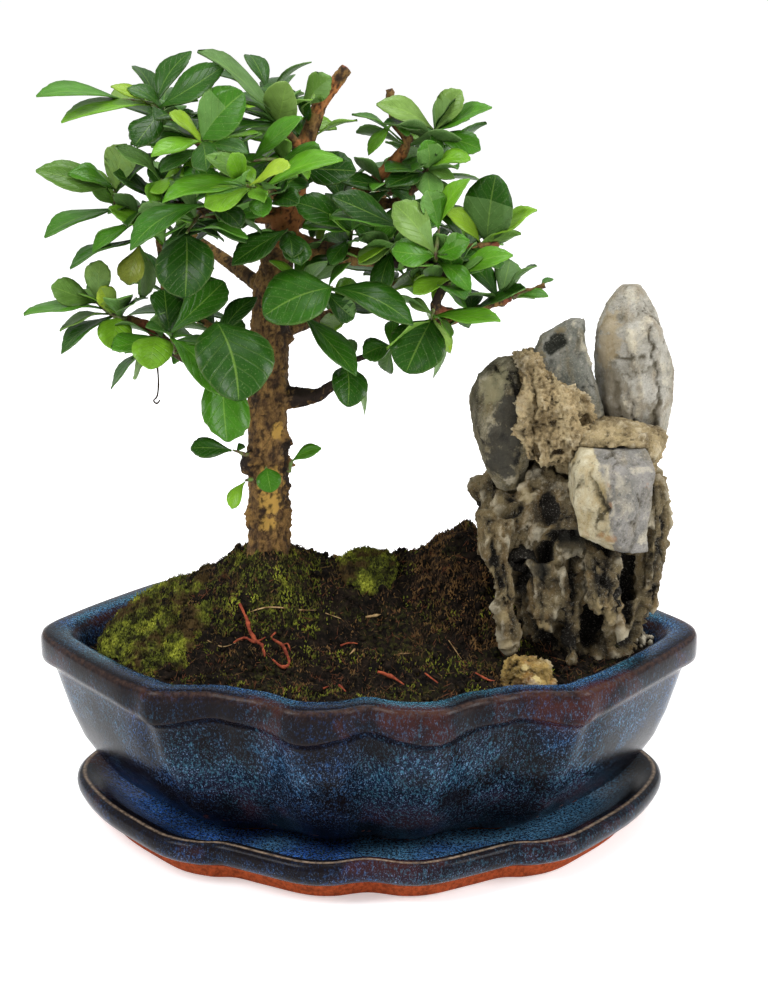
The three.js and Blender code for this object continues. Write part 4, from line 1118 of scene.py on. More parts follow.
# %% The list of shoots
# Each shoot has the points of its twig and its leaves. Each leaf has its place along the twig,
# its heading, lift, length, width, roll and tone, in millimetres and degrees.
front_shoots = {
    "upper_left": ([(-57, -6, 232), (-66, -5, 238), (-76, -6, 240)], [
        (2, -150, 5, 28, 13, 15, "mid"), (1.1, -150, -5, 30, 14, 10, "bright"),
        (1.2, -155, 30, 13, 6, 35, "yellow"), (1.5, 145, 10, 12, 6, 55, "pale"),
        (1, 40, 50, 21, 10, -15, "dark"), (0.9, -15, 30, 26, 12, -55, "dark"),
        (0.8, -110, -25, 20, 10, 20, "dark"),
    ]),
    "upper_front": ([(-46, -11, 223), (-50, -28, 230)], [
        (1, -20, 45, 20, 15, -80, "mid"), (0.9, -145, -10, 18, 8, 25, "bright"),
        (0.8, -30, -40, 15, 7, -20, "pale"), (0.7, -45, 0, 18, 8, -20, "dark"),
        (0.6, -155, 40, 16, 8, 35, "yellow"),
    ]),
    "upper_middle": ([(-24, -2, 228), (-29, -4, 234)], [
        (0.8, -75, 50, 16, 12, -140, "pale"), (1, -155, 35, 32, 15, 30, "dark"),
        (0.9, 145, 30, 16, 8, 5, "dark"), (0.7, -155, -5, 22, 11, 15, "dark"),
        (0.6, 150, 20, 14, 7, 10, "mid"),
    ]),
    "top_leader": ([(-18, 3, 230), (-21, 4, 238)], [
        (1, 160, 20, 14, 7, 25, "dark"), (0.9, -35, 40, 14, 9, -90, "pale"),
        (0.4, -20, 5, 18, 9, -50, "pale"), (0.2, -20, -10, 19, 9, -15, "mid"),
        (0.3, -75, 30, 12, 6, -130, "dark"),
    ]),
    "top_centre": ([(-23, 0, 217), (-29, -12, 222), (-36, -16, 222)], [
        (2, -20, 40, 22, 10, -45, "mid"), (0.3, -20, 0, 22, 11, -60, "dark"),
        (0.8, -30, 15, 16, 8, -40, "mid"), (1.3, -95, -20, 14, 7, -5, "dark"),
    ]),
    "bright_front": ([(-29, -22, 213), (-37, -40, 218)], [
        (1, -115, 55, 12, 7, 120, "bright"), (0.9, -155, 40, 15, 7, 60, "pale"),
        (0.8, -30, 25, 16, 8, -35, "yellow"), (0.4, -15, 25, 27, 13, -25, "bright"),
        (0.7, -150, -15, 16, 8, 55, "bright"), (0.6, -75, -10, 13, 6, -10, "bright"),
        (0.5, -155, 0, 30, 14, 15, "bright"), (0.2, -95, -25, 13, 7, -5, "mid"),
    ]),
    "long_left": ([(-45, -10, 206), (-49, -30, 211)], [
        (1, -145, -20, 28, 13, 15, "mid"), (0.8, -50, -15, 16, 8, -15, "dark"),
        (0.9, 70, -35, 14, 7, -80, "dark"),
    ]),
    "left_mid": ([(-69, 0, 203), (-73, -8, 202), (-72, -8, 195)], [
        (1, -145, -25, 17, 8, 10, "mid"), (1.8, -150, -15, 24, 11, 0, "dark"),
        (2, -115, -55, 13, 9, 10, "turning"), (1.9, 60, -80, 18, 9, -95, "pale"),
    ]),
    "left_upper": ([(-72, 2, 204), (-80, 0, 205), (-80, 0, 212)], [
        (2, -155, 15, 26, 12, 45, "pale"), (1.9, -155, 25, 17, 8, 45, "mid"),
        (1.8, -40, 70, 16, 11, -110, "pale"), (1.7, -15, 45, 19, 9, -40, "dark"),
        (1.2, -155, 40, 11, 5, 75, "bright"), (1, -150, -15, 25, 12, 10, "mid"),
    ]),
    "left_bud": ([(-66, -1, 207), (-64, -12, 216)], [
        (1, -85, -20, 9, 9, -20, "bright"), (0.9, -15, 25, 9, 4, -70, "bright"),
        (0.6, 130, 50, 9, 4, 15, "dark"),
    ]),
    "lower_left": ([(-76, -12, 172), (-81, -10, 173), (-86, -10, 177)], [
        (2, -155, 25, 15, 9, 65, "pale"), (1.9, -55, 80, 14, 9, -130, "pale"),
        (1.6, -150, 0, 26, 12, 5, "mid"), (1.2, -150, -10, 17, 8, 0, "pale"),
        (1, -120, 60, 11, 7, 110, "yellow"), (0.9, -145, -25, 21, 10, 5, "dark"),
        (0.6, -95, -45, 12, 11, 10, "bright"),
    ]),
    "left_round": ([(-63, -12, 164), (-66, -19, 168)], [
        (1, -95, -30, 14, 13, 5, "bright"), (0.6, -140, -35, 23, 11, -20, "dark"),
        (0.4, 170, -50, 16, 8, 25, "pale"),
    ]),
    "oval_front": ([(-52, -18, 206), (-55, -30, 202)], [
        (1, -90, -60, 20, 19, -15, "dark"), (0.8, -25, 0, 20, 9, 0, "mid"),
        (0.9, 140, -40, 16, 8, 65, "dark"),
    ]),
    "giant_front": ([(-61, -13, 161), (-61, -30, 171)], [
        (1, 35, 35, 24, 12, -40, "dark"), (0.9, -30, -35, 28, 13, -30, "mid"),
        (0.8, 105, 60, 16, 11, -15, "dark"),
    ]),
    "giant_leaf": ([(-45, -9, 155), (-45, -26, 165), (-46, -36, 176)], [
        (2, -65, -45, 27, 25, 0, "dark"), (0.8, -85, -55, 29, 16, 20, "mid"),
        (1.4, 40, 40, 18, 8, -20, "dark"),
    ]),
    "trunk_front": ([(-27, -4, 180), (-11, -22, 184)], [
        (1, -150, -15, 24, 18, 50, "dark"), (0.9, -25, -15, 30, 14, -25, "dark"),
        (0.8, 15, -45, 14, 8, -70, "dark"),
    ]),
    "dark_inner": ([(-27, -3, 195), (-25, -16, 201)], [
        (1, -150, -25, 21, 10, 35, "dark"), (0.9, -70, -30, 16, 9, -5, "dark"),
        (0.6, 135, -20, 12, 6, 75, "dark"),
    ]),
    "trunk_long": ([(-27, -2, 170), (-21, -8, 173)], [
        (1, -35, -40, 27, 13, -5, "dark"),
    ]),
    "lower_right": ([(-9, -4, 152), (-7, -11, 157)], [
        (0.2, -160, 20, 13, 8, 60, "mid"), (1, -85, -40, 15, 12, 15, "dark"),
        (0.2, -135, -40, 19, 9, 25, "dark"), (0.8, 15, -65, 17, 8, -30, "pale"),
        (0.9, 75, 60, 9, 6, 5, "dark"),
    ]),
    "right_low_back": ([(3, -6, 160), (8, -6, 162)], [
        (1, -140, -5, 12, 8, 50, "dark"), (0.9, 105, -50, 12, 6, 135, "dark"),
        (0.8, 85, 50, 10, 5, 15, "mid"),
    ]),
    "round_right": ([(21, -9, 176), (20, -12, 172)], [
        (1, -130, -50, 19, 18, 30, "dark"), (0.8, -25, 0, 23, 11, -15, "bright"),
        (0.9, 15, -60, 13, 6, -55, "yellow"), (0.7, 55, -80, 21, 10, -80, "pale"),
        (0.6, 155, 25, 9, 4, 45, "pale"),
    ]),
    "far_right": ([(46, -2, 177), (51, -2, 179), (56, -1, 181)], [
        (0.2, -25, 5, 11, 5, -25, "mid"), (1.8, 50, 15, 7, 3, -5, "mid"),
    ]),
    "right_top": ([(32, 0, 193), (38, 4, 194)], [
        (1, -75, 75, 22, 17, -140, "dark"), (0.9, -20, 35, 20, 9, -35, "bright"),
        (0.8, 30, 40, 14, 7, -20, "pale"), (0.7, -160, 45, 17, 8, 55, "yellow"),
        (0.6, -25, -10, 25, 12, -30, "mid"),
    ]),
    "right_stem": ([(25, -10, 183), (27, -15, 186)], [
        (1, -20, 25, 20, 9, -40, "bright"), (0.8, -155, -15, 14, 7, 30, "bright"),
        (0.9, 40, 15, 12, 6, -30, "dark"),
    ]),
    "right_front": ([(21, -12, 190), (21, -20, 194), (22, -18, 202)], [
        (1, -160, 50, 21, 11, 80, "pale"), (0.9, -150, 10, 15, 9, 65, "mid"),
        (0.8, -45, 25, 14, 8, -80, "mid"), (2, -30, 60, 18, 8, -60, "bright"),
        (1.9, -140, 70, 13, 9, 105, "mid"),
    ]),
    "right_inner": ([(8, -8, 193), (9, -12, 197), (10, -12, 201)], [
        (2, -160, 25, 25, 12, 50, "dark"), (1.8, -155, 15, 24, 11, 20, "mid"),
        (0.5, -145, -15, 14, 7, 30, "pale"), (0.2, -115, -55, 16, 8, 5, "dark"),
        (1.9, 25, 15, 14, 7, -50, "dark"),
    ]),
    "right_inner_low": ([(-6, -6, 194), (-5, -12, 200)], [
        (1, -160, 30, 20, 10, 65, "dark"), (0.9, -160, 10, 16, 8, 25, "mid"),
        (0.5, -125, -30, 12, 6, 25, "dark"), (0.6, 50, -35, 14, 7, -70, "mid"),
    ]),
    "right_upright": ([(4, 5, 213), (7, 0, 211)], [
        (1, -160, 15, 17, 8, 35, "dark"), (0.9, 165, -30, 15, 7, 45, "dark"),
        (0.8, 35, -25, 10, 5, -65, "dark"),
    ]),
    "right_crown": ([(20, 10, 223), (21, 10, 229)], [
        (1, -160, 25, 21, 10, 50, "pale"), (0.9, -30, 55, 16, 9, -90, "pale"),
        (0.8, -20, 25, 21, 10, -30, "mid"), (0.7, -25, -10, 16, 8, -50, "mid"),
        (0.6, -160, 20, 19, 9, 25, "dark"), (0.5, 160, 5, 13, 6, 40, "bright"),
    ]),
    "right_stub": ([(8, 9, 231), (7, 4, 233)], [
        (0.2, -145, -45, 13, 6, 10, "bright"), (1, 20, -25, 8, 4, -65, "mid"),
    ]),
    "right_neck": ([(18, 7, 214), (19, 1, 218)], [
        (1, -100, 70, 9, 9, 150, "mid"), (0.9, -20, 20, 14, 7, -35, "bright"),
        (0.8, -25, -10, 9, 4, -55, "pale"), (0.7, -80, -50, 10, 9, 5, "mid"),
        (0.3, 160, -5, 11, 5, 30, "mid"),
    ]),
    "trunk_low_left": ([(-39, -6, 126), (-44, -7, 128)], [
        (1, -155, 10, 14, 7, 55, "dark"), (0.8, 55, 20, 7, 4, -30, "dark"),
    ]),
    "trunk_low_bud": ([(-38, -6, 118), (-40, -8, 118)], [
        (1, -125, -45, 10, 5, 20, "bright"),
    ]),
    "trunk_low_front": ([(-34, -5, 119), (-33, -10, 123)], [
        (1, -70, -55, 8, 8, -15, "mid"),
    ]),
    "trunk_low_right": ([(-26, -4, 120), (-25, -5, 124)], [
        (1, -15, 25, 11, 5, -50, "mid"),
    ]),
}
# Behind, each shoot has the points of its twig and a seed.
back_shoots = {
    "back_left": ([(-58, 36, 190), (-66, 46, 196), (-70, 50, 202)], 11),
    "back_middle": ([(-36, 42, 203), (-38, 52, 208), (-40, 57, 214)], 23),
    "back_right": ([(8, 36, 206), (18, 44, 210), (23, 48, 215)], 37),
    "back_top": ([(-26, 18, 228), (-31, 27, 233), (-33, 32, 239)], 41),
    "back_low_right": ([(4, 32, 173), (12, 40, 177), (18, 45, 182)], 53),
    "back_low_left": ([(-50, 16, 162), (-61, 27, 167), (-67, 32, 173)], 67),
    "right_back": ([(18, 8, 186), (30, 23, 187), (36, 28, 191)], 79),
    "upper_left_back": ([(-56, 4, 227), (-64, 15, 231), (-68, 20, 236)], 83),
}
print("shoots:", len(front_shoots), "in front and", len(back_shoots), "behind")

# %% [markdown]
# The leaves behind aren't seen in the photograph, so they follow a rule: each turns by the golden
# angle from the last, and they shrink towards the tip of the shoot. The same rule gives most
# shoots a few small inner leaves that thicken the crown, as on the real tree.

# %% Leaves by rule
golden_angle = 137.5


def ruled_leaves(seed, count=7):
    """The leaves of a shoot behind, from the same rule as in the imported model."""
    draw = draws(seed)
    leaves = []
    for index in range(count):
        share = index / (count - 1)
        heading = index * golden_angle + 40 * next(draw)
        lift = 50 * share - 10 + 15 * next(draw)
        length = 24 - 9 * share * next(draw)
        width = length * (0.44 + 0.1 * next(draw))
        roll = 40 * next(draw) - 20
        leaves.append((0.5 + 1.5 * share, heading, lift, length, width, roll, "dark"))
    return leaves


def inner_leaves(seed, count, reach):
    """Small leaves up to a length, mostly dark, all round a twig or a spur."""
    draw = draws(seed * 31 + 5)
    leaves = []
    for index in range(count):
        length = between(0.65, 1, next(draw)) * reach
        along = between(0.2, 1, next(draw))
        heading = index * golden_angle + 90 * next(draw)
        lift = between(-30, 55, next(draw))
        width = length * between(0.42, 0.55, next(draw))
        roll = between(-40, 40, next(draw))
        tone = ("dark", "dark", "mid", "young")[int(4 * next(draw))]
        leaves.append((along, heading, lift, length, width, roll, tone))
    return leaves


print("leaves of one shoot by rule:", len(ruled_leaves(1)))

# %% [markdown]
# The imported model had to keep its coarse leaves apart, so it turned, lifted or shrank some of them
# and left a few out. It tried the changes below one after the other. Here each is tried again,
# and the first one whose tip and edges touch the solid is the one that the model used.

# %% Where each packed leaf is
# Each try has degrees more of heading, degrees more of lift and a share of the size.
tries = [
    (0, 0, 1), (0, 10, 1), (0, -10, 1), (14, 0, 1), (-14, 0, 1), (0, 20, 1), (0, -20, 1), (28, 0, 1),
    (-28, 0, 1), (20, 16, 0.9), (-20, -16, 0.9), (20, -16, 0.85), (-20, 16, 0.85), (0, 32, 0.8),
    (0, -32, 0.8), (45, 0, 0.8), (-45, 0, 0.8), (0, 0, 0.6), (60, 30, 0.7), (-60, 30, 0.7),
]


def leaf_frame(heading, lift, roll):
    """The leaf's directions: along it, across it and out of its upper side."""
    turn, rise, lean = (math.radians(angle) for angle in (heading, lift, roll))
    forward = Vector(
        (math.cos(rise) * math.cos(turn), math.cos(rise) * math.sin(turn), math.sin(rise)))
    level = Vector((-math.sin(turn), math.cos(turn), 0))
    normal = math.cos(lean) * forward.cross(level) + math.sin(lean) * level
    return forward, normal.cross(forward), normal


def along_twig(twig, along):
    """The point on a twig at a place counted in its points."""
    start = min(int(along), len(twig) - 2)
    return Vector(twig[start]).lerp(Vector(twig[start + 1]), along - start)


def blade_point(root, axes, length, half_width, along, across):
    """A point on an arched and folded blade, at shares of its length and half width."""
    forward, lateral, normal = axes
    height = 0.24 * length * along * (1 - along) + 0.2 * abs(across) * half_width
    return root + forward * (0.3 + along * length) + lateral * across * half_width + normal * height


def as_packed(twig, leaf, solid):
    """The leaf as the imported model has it, or None where it was left out for want of room."""
    along, heading, lift, length, width, roll, tone = leaf
    root = along_twig(twig, along)
    tip_and_edges = ((1, 0), (0.58, 1), (0.58, -1))
    for more_heading, more_lift, share in tries:
        turned, raised = heading + more_heading, lift + more_lift
        long, wide = length * share, width * share
        axes = leaf_frame(turned, raised, roll)
        tested = [blade_point(root, axes, long, wide / 2, *test) for test in tip_and_edges]
        if all(solid.find_nearest(point * MM, 0.3 * MM)[0] for point in tested):
            return along, turned, raised, long, wide, roll, tone
    return None


print("tries for each leaf:", len(tries))


# %% [markdown]
# A blade is a grid four faces wide, bent into the spoon shape: narrow at the stalk, widest past
# the middle, with blunt teeth near the end. It arches along its length, folds up a little at the
# midrib and waves at the edge. The operator for thickness then gives it an underside, and those
# faces take the dull material. Its tone is kept as a colour attribute.

# %% The outlines and tones of the blades
# Each row is a share of the length and the share of the full width there.
broad_rows = [
    (0, 0.05), (0.08, 0.1), (0.2, 0.29), (0.34, 0.58), (0.48, 0.84), (0.62, 0.99), (0.74, 1),
    (0.83, 0.92), (0.87, 0.75), (0.92, 0.66), (0.955, 0.38), (1, 0.1),
]
round_rows = [
    (0, 0.06), (0.06, 0.2), (0.15, 0.48), (0.27, 0.78), (0.4, 0.95), (0.53, 1), (0.66, 0.97),
    (0.77, 0.86), (0.86, 0.68), (0.92, 0.55), (0.965, 0.36), (1, 0.12),
]
narrow_rows = [
    (0, 0.05), (0.09, 0.12), (0.2, 0.34), (0.34, 0.68), (0.48, 0.94), (0.6, 1), (0.7, 0.94),
    (0.79, 0.78), (0.83, 0.62), (0.89, 0.5), (0.94, 0.28), (1, 0.05),
]
# The pale tone is partly a painted sheen, the grey-green that glossy upper sides show in the light, and
# partly the grey-green of undersides turned up.
tones = {
    "dark": ("173a07", "2b5810"), "mid": ("2d5d10", "447919"), "bright": ("4d8317", "74a126"),
    "young": ("457718", "76a024"), "yellow": ("6d9322", "93ab30"), "pale": ("52772e", "738f47"),
    "turning": ("6c7826", "7c8430"),
}


def rows_for(length, width):
    if width > 0.7 * length:
        return round_rows
    return broad_rows if width > 0.49 * length else narrow_rows


print("tones:", ", ".join(tones))

# %% One blade
blade_thickness = 0.42
# No blade reaches past the top of the solids, in millimetres.
crown_ceiling = 256.3


def add_blade(target, root, leaf, draw):
    """Adds one closed blade, with four draws for its waves, curl and bow and one for its tone."""
    *_, heading, lift, length, width, roll, tone = leaf
    axes = leaf_frame(heading, lift, roll)
    rows = rows_for(length, width)
    wave, phase, curl = (next(draw) for _ in range(3))
    bow = between(-0.06, 0.06, next(draw)) * length
    made = bmesh.ops.create_grid(
        target, x_segments=4, y_segments=len(rows) - 1, size=0.5, calc_uvs=True)
    tint = target.verts.layers.float_color["leaf_tint"]
    first, second = (Vector(srgb(code)[:3]) for code in tones[tone])
    colour = first.lerp(second, next(draw))
    for vert in made["verts"]:
        across, row = 2 * vert.co.x, round((vert.co.y + 0.5) * (len(rows) - 1))
        along, share = rows[row]
        ripple = 0.08 * width * wave * across * math.sin(9 * along + 6 * phase + 2 * across)
        bend = -0.13 * length * (curl - 0.25) * along ** 3
        spot = blade_point(root, axes, length, width / 2 * share, along, across)
        spot += axes[2] * (ripple + bend) + axes[1] * bow * math.sin(math.pi * along)
        vert.co = Vector((spot.x, spot.y, min(spot.z, crown_ceiling))) * MM
        vert[tint] = (*colour, 1)
    faces = list({face for vert in made["verts"] for face in vert.link_faces})
    bmesh.ops.solidify(target, geom=faces, thickness=blade_thickness * MM)
    # The operator doesn't say which faces it made, so they are found from neighbour to neighbour.
    blade = set(faces)
    while faces:
        for edge in faces.pop().edges:
            fresh = [face for face in edge.link_faces if face not in blade]
            blade.update(fresh)
            faces.extend(fresh)
    bmesh.ops.recalc_face_normals(target, faces=list(blade))
    for face in blade:
        face.normal_update()
        face.material_index = 1 if face.normal.dot(axes[2]) < -0.1 else 0


# %% [markdown]
# The finish reads the blade's UV map. Across runs from edge to edge and along from stalk to tip,
# so the midrib, the side veins and the pale edge line are bands of these two numbers. The upper
# side is glossy, with the fine white hair dots of this plant, and the underside is dull and paler.

# %% Veins, as a node group
leaf_veins, given, result = new_group(
    "leaf_veins",
    [("Place", "Vector")],
    [("Midrib", "Float"), ("Veins", "Float"), ("Edge", "Float")])
parts = add_node(leaf_veins, "ShaderNodeSeparateXYZ", {"Vector": given["Place"]}).outputs
off_midrib = maths(leaf_veins, "ABSOLUTE", maths(leaf_veins, "SUBTRACT", parts["X"], 0.5), 0.0)
leaf_veins.links.new(mask(leaf_veins, off_midrib, 0.024, 0.006), result["Midrib"])
leaf_veins.links.new(mask(leaf_veins, off_midrib, 0.462, 0.49), result["Edge"])
slant = maths(leaf_veins, "MULTIPLY", off_midrib, -0.62)
rising = maths(leaf_veins, "ADD", parts["Y"], slant)
bands = maths(leaf_veins, "SINE", maths(leaf_veins, "MULTIPLY", rising, 52.0), 0.0)
leaf_veins.links.new(mask(leaf_veins, bands, 0.8, 1), result["Veins"])
print("group:", leaf_veins.name)

# %% Leaf finishes
def leaf_side(name, paler, gloss, line_share):
    """One side of a leaf: how much paler than its tone, how rough, and how clear its edge line."""
    material, tree, shader = new_material(name, Roughness=gloss, Specular_IOR_Level=0.16)
    uv = add_node(tree, "ShaderNodeUVMap", uv_map="UVMap").outputs["UV"]
    veins = use_group(tree, leaf_veins, {"Place": uv})
    mottle = speckle(tree, own_place(tree), 260, 3)
    base = attribute(tree, "leaf_tint").outputs["Color"]
    base = mix(tree, paler, base, srgb("6d8f52"))
    base = mix(tree, mask(tree, mottle, 0.35, 0.75, 0.0, 0.5), base, srgb("9aa878"), "MULTIPLY")
    hair_dots = mask(tree, speckle(tree, own_place(tree), 2300), 0.6, 0.72, 0, 0.22)
    base = mix(tree, hair_dots, base, srgb("a9c07c"))
    base = mix(tree, maths(tree, "MULTIPLY", veins["Veins"], 0.05), base, srgb("9dbb5c"))
    base = mix(tree, maths(tree, "MULTIPLY", veins["Edge"], line_share), base, srgb("c6cf86"))
    base = mix(tree, maths(tree, "MULTIPLY", veins["Midrib"], 0.3), base, srgb("86a848"))
    paint(tree, shader, base)
    sunk_veins = maths(tree, "MULTIPLY", veins["Veins"], -0.5)
    ribs = maths(tree, "ADD", sunk_veins, maths(tree, "MULTIPLY", mottle, 0.6))
    raise_surface(tree, shader, ribs, 0.00035, 0.6)
    return material


leaf_top = leaf_side("leaf_upper_side", 0.0, 0.3, 0.04)
leaf_under = leaf_side("leaf_underside", 0.45, 0.5, 0.03)
young_stem = two_tone("young_stem", "4a3220", "5f7a30", 500, (0.4, 0.62), 1200, Roughness=0.6)
print("finishes:", leaf_top.name, leaf_under.name, young_stem.name)

# %% [markdown]
# Each shoot is one piece of blades and a short stem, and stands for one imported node. Shoots that
# the photograph shows as open get no inner leaves.

# %% Tools for a shoot
all_shoots = dict(front_shoots)
for name, (twig, seed) in back_shoots.items():
    all_shoots[name] = (twig, ruled_leaves(seed))


def new_shoot():
    """An empty mesh with what the leaf finishes read."""
    shoot = bmesh.new()
    shoot.loops.layers.uv.new("UVMap")
    shoot.verts.layers.float_color.new("leaf_tint")
    return shoot


def search_tree(node):
    """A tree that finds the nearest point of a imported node."""
    world = node.matrix_world
    corners = [world @ vert.co for vert in node.data.vertices]
    return BVHTree.FromPolygons(corners, [tuple(face.vertices) for face in node.data.polygons])


print("shoots in all:", len(all_shoots))

# %% Build every shoot
open_shoots = {
    "trunk_low_left", "trunk_low_bud", "trunk_low_front", "trunk_low_right", "lower_right",
    "right_low_back", "far_right", "right_stub", "top_leader", "trunk_long",
}
leaf_total = 0
for number, (name, (twig, leaves)) in enumerate(all_shoots.items()):
    solid = search_tree(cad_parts["shoot_" + name])
    draw = draws(101 + number)
    shoot = new_shoot()
    found = [packed for packed in (as_packed(twig, leaf, solid) for leaf in leaves) if packed]
    filling = 0 if name in open_shoots else 5
    for leaf in found + inner_leaves(number + 1, filling, 18):
        add_blade(shoot, along_twig(twig, leaf[0]), leaf, draw)
        leaf_total += 1
    stem_radii = [0.8] * (len(twig) - 1) + [0.35]
    stem = tube(twig, stem_radii, sides=7, steps=5, lumps=0.4, seed=number)
    for face in stem.faces:
        face.material_index = 2
    merge(shoot, stem)
    if len(found) < len(leaves):
        print(name, "left out", len(leaves) - len(found))
    show("leaves_" + name, shoot, [leaf_top, leaf_under, young_stem], ["shoot_" + name])
print("leaves:", leaf_total)

# %% [markdown]
# Between the shoots the real branches carry short spurs, each with a rosette of leaves, and these
# close the crown to a dense mass. A spur starts at a point on a branch, and its leaves follow the
# same rule as the inner ones. The spurs are one piece for each side of the crown.

# %% Spurs along the branches
spurs = {
    "left": [
        (-35, -6, 217), (-44, -9, 221), (-50, -9, 225), (-41, 2, 204), (-57, 3, 204), (-66, 0, 207),
        (-46, -8, 154), (-58, -13, 160), (-50, 16, 162), (-56, 4, 227), (-23, 0, 211),
        (-45, -10, 206), (-29, -18, 212), (-30, -8, 208), (-64, -8, 195),
    ],
    "right": [
        (-16, -3, 192), (-4, -6, 191), (7, -9, 190), (21, -12, 188),
        (9, 6, 206), (12, 8, 224), (18, 8, 186), (-8, 20, 203), (8, 36, 206), (-12, 18, 168),
        (32, -5, 172), (42, -3, 176), (32, 0, 193), (22, -10, 182), (-20, 3, 226),
    ],
}
for number, (side, points) in enumerate(spurs.items()):
    draw = draws(211 + number)
    shoot = new_shoot()
    for index, point in enumerate(points):
        for leaf in inner_leaves(400 + 20 * number + index, 5, 21):
            add_blade(shoot, Vector(point), leaf, draw)
    show("spur_leaves_" + side, shoot, [leaf_top, leaf_under])

# %% [markdown]
# ## Standing rock
#
# The rock is an ornament of its own: pale limestone pieces set in tan mortar on a dark, hollowed
# base. Each packed stone is remeshed to an even skin and weathered by noise at several sizes.
# Stone that was split with a hammer has flat chips, so a cell pattern tilts each small patch of
# the surface its own way, and seeded planes take whole flakes off before the remesh. Cracks and
# caves that the photograph shows are listed as lines and ovals on the front, in millimetres
# across and up; hollows sink the surface without darkening it. A value of tone and painted shade
# goes into an attribute: darker in cracks, caves, caverns and along chip edges, paler on raised
# cracks, chip tops and flutes. Blender's noise that gives a direction takes its seed from the
# clock unless it is given one, so the seed is set first, and each run gives the same stones.

# %% Cracks, chips and flakes
noise_seed = 12
noise.seed_set(noise_seed)


def line_distance(x, z, line):
    """The distance from a point to a broken line, both on the front plane."""
    best = 1e9
    for (x0, z0), (x1, z1) in zip(line, line[1:]):
        run, rise = x1 - x0, z1 - z0
        share = min(max(((x - x0) * run + (z - z0) * rise) / (run * run + rise * rise), 0), 1)
        best = min(best, math.hypot(x - x0 - share * run, z - z0 - share * rise))
    return best


def chip_height(place, size):
    """A flat tilt for each cell of a cell pattern, and how near the point is to a cell's edge."""
    distances, points = noise.voronoi(place / size)
    tilt = noise.noise_vector(points[0] * 7.3)
    return (place / size - points[0]).dot(tilt) * 1.6, distances[1] - distances[0]


def split_planes(name, count, seed):
    """Seeded planes all round a stone that each take off a flat flake, thicker in front."""
    draw = draws(seed)
    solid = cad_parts[name].data
    planes = []
    for index in range(count):
        turn = 2 * math.pi * (index + 0.6 * next(draw)) / count
        lean = (-1) ** index * between(0.05, 0.45, next(draw))
        direction = Vector((math.cos(turn), math.sin(turn), lean)).normalized()
        flake = between(4.2, 1.0, abs(direction.x)) * between(0.7, 1.1, next(draw))
        reach = max(direction.dot(vert.co) for vert in solid.vertices)
        planes.append((direction * (reach - flake * MM), direction))
    return planes


print("noise seed:", noise_seed)

# %% Weathering
def weather(name, voxel, rounds, dents, chips, chip_size, ledges, grit, cracks=(),
            caves=(), hollows=(), caverns=0.0, flutes=0.0, front=-3, seed=0, planes=()):
    """An even skin of a packed stone, roughened by noise and by what is listed for its front.

    Dents, chips, ledges, grit, caverns and flutes say how strong each kind of relief is. Cracks
    have a width, a depth and a line; caves and hollows have a middle, two reaches and a depth."""
    offset = Vector((seed * 3.7, seed * 1.9, seed * 2.3))

    def height_at(spot):
        place = spot + offset
        broad = noise.noise(place * 0.12)
        middle = noise.noise(place * 0.33)
        strata = noise.noise(Vector((place.x * 0.14, place.y * 0.14, place.z * 0.7)))
        fine = noise.noise(place * 1.25)
        chip, edge = chip_height(place + Vector((middle, broad, fine)) * 1.5, chip_size)
        seam = soft_step(0.14, 0, edge)
        height = dents * (0.9 * broad + 0.5 * middle) + chips * (chip - 0.35 * seam)
        rib = noise.noise(Vector((place.x * 0.2, place.y * 0.2, place.z * 0.05)))
        height += ledges * strata + grit * fine + 2.4 * flutes * rib
        # Painted shade and highlight: the shade value is lower along chip edges, in sunk cracks, caverns
        # and caves, and higher on chip tops, raised cracks and flutes.
        shade = 0.62 + 0.3 * broad + 0.25 * middle + 0.25 * fine
        shade += 0.3 * chip - 0.25 * seam + 0.5 * flutes * rib
        facing = soft_step(front + 4, front, spot.y)
        x, z = spot.x + 1.6 * middle, spot.z + 1.6 * broad
        for width, depth, line in cracks:
            near = facing * math.exp(-((line_distance(x, z, line) / width) ** 2))
            height -= depth * near
            shade -= (0.5 if depth > 0 else -0.4) * near
        drawn_out = Vector((place.x * 0.16, place.y * 0.16, place.z * 0.07))
        hole = noise.noise(drawn_out + Vector((31, 7, 5)))
        hole = caverns * soft_step(0.05, 0.4, hole) * soft_step(122, 108, spot.z)
        height -= 3.2 * hole
        shade -= 0.45 * hole
        for cave_x, cave_z, reach_x, reach_z, depth in caves:
            away = ((x - cave_x) / reach_x) ** 2 + ((z - cave_z) / reach_z) ** 2
            near = facing * soft_step(1.5, 0.5, away)
            height -= depth * near
            shade -= 0.8 * near
        for sunk_x, sunk_z, reach_x, reach_z, depth in hollows:
            away = ((x - sunk_x) / reach_x) ** 2 + ((z - sunk_z) / reach_z) ** 2
            height -= depth * facing * soft_step(1.4, 0.3, away)
        return height, min(max(shade, 0), 1)

    skin = even_skin([name], voxel, rounds, planes)
    raise_skin(skin, height_at)
    return skin


# %% [markdown]
# All the stones share one weathered finish, a node group. It takes a light and a dark colour, the
# colour of the mineral stains and that of the hollows, and lays the stains in streaks where water
# has run. Where the tone and shade value is low it paints the colour of the hollows, as dirt and
# painted shade; where it is high it paints the crests pale, as wear and painted highlight. Each
# stone then has its own colours, and ragged touches of others where the photograph shows them.

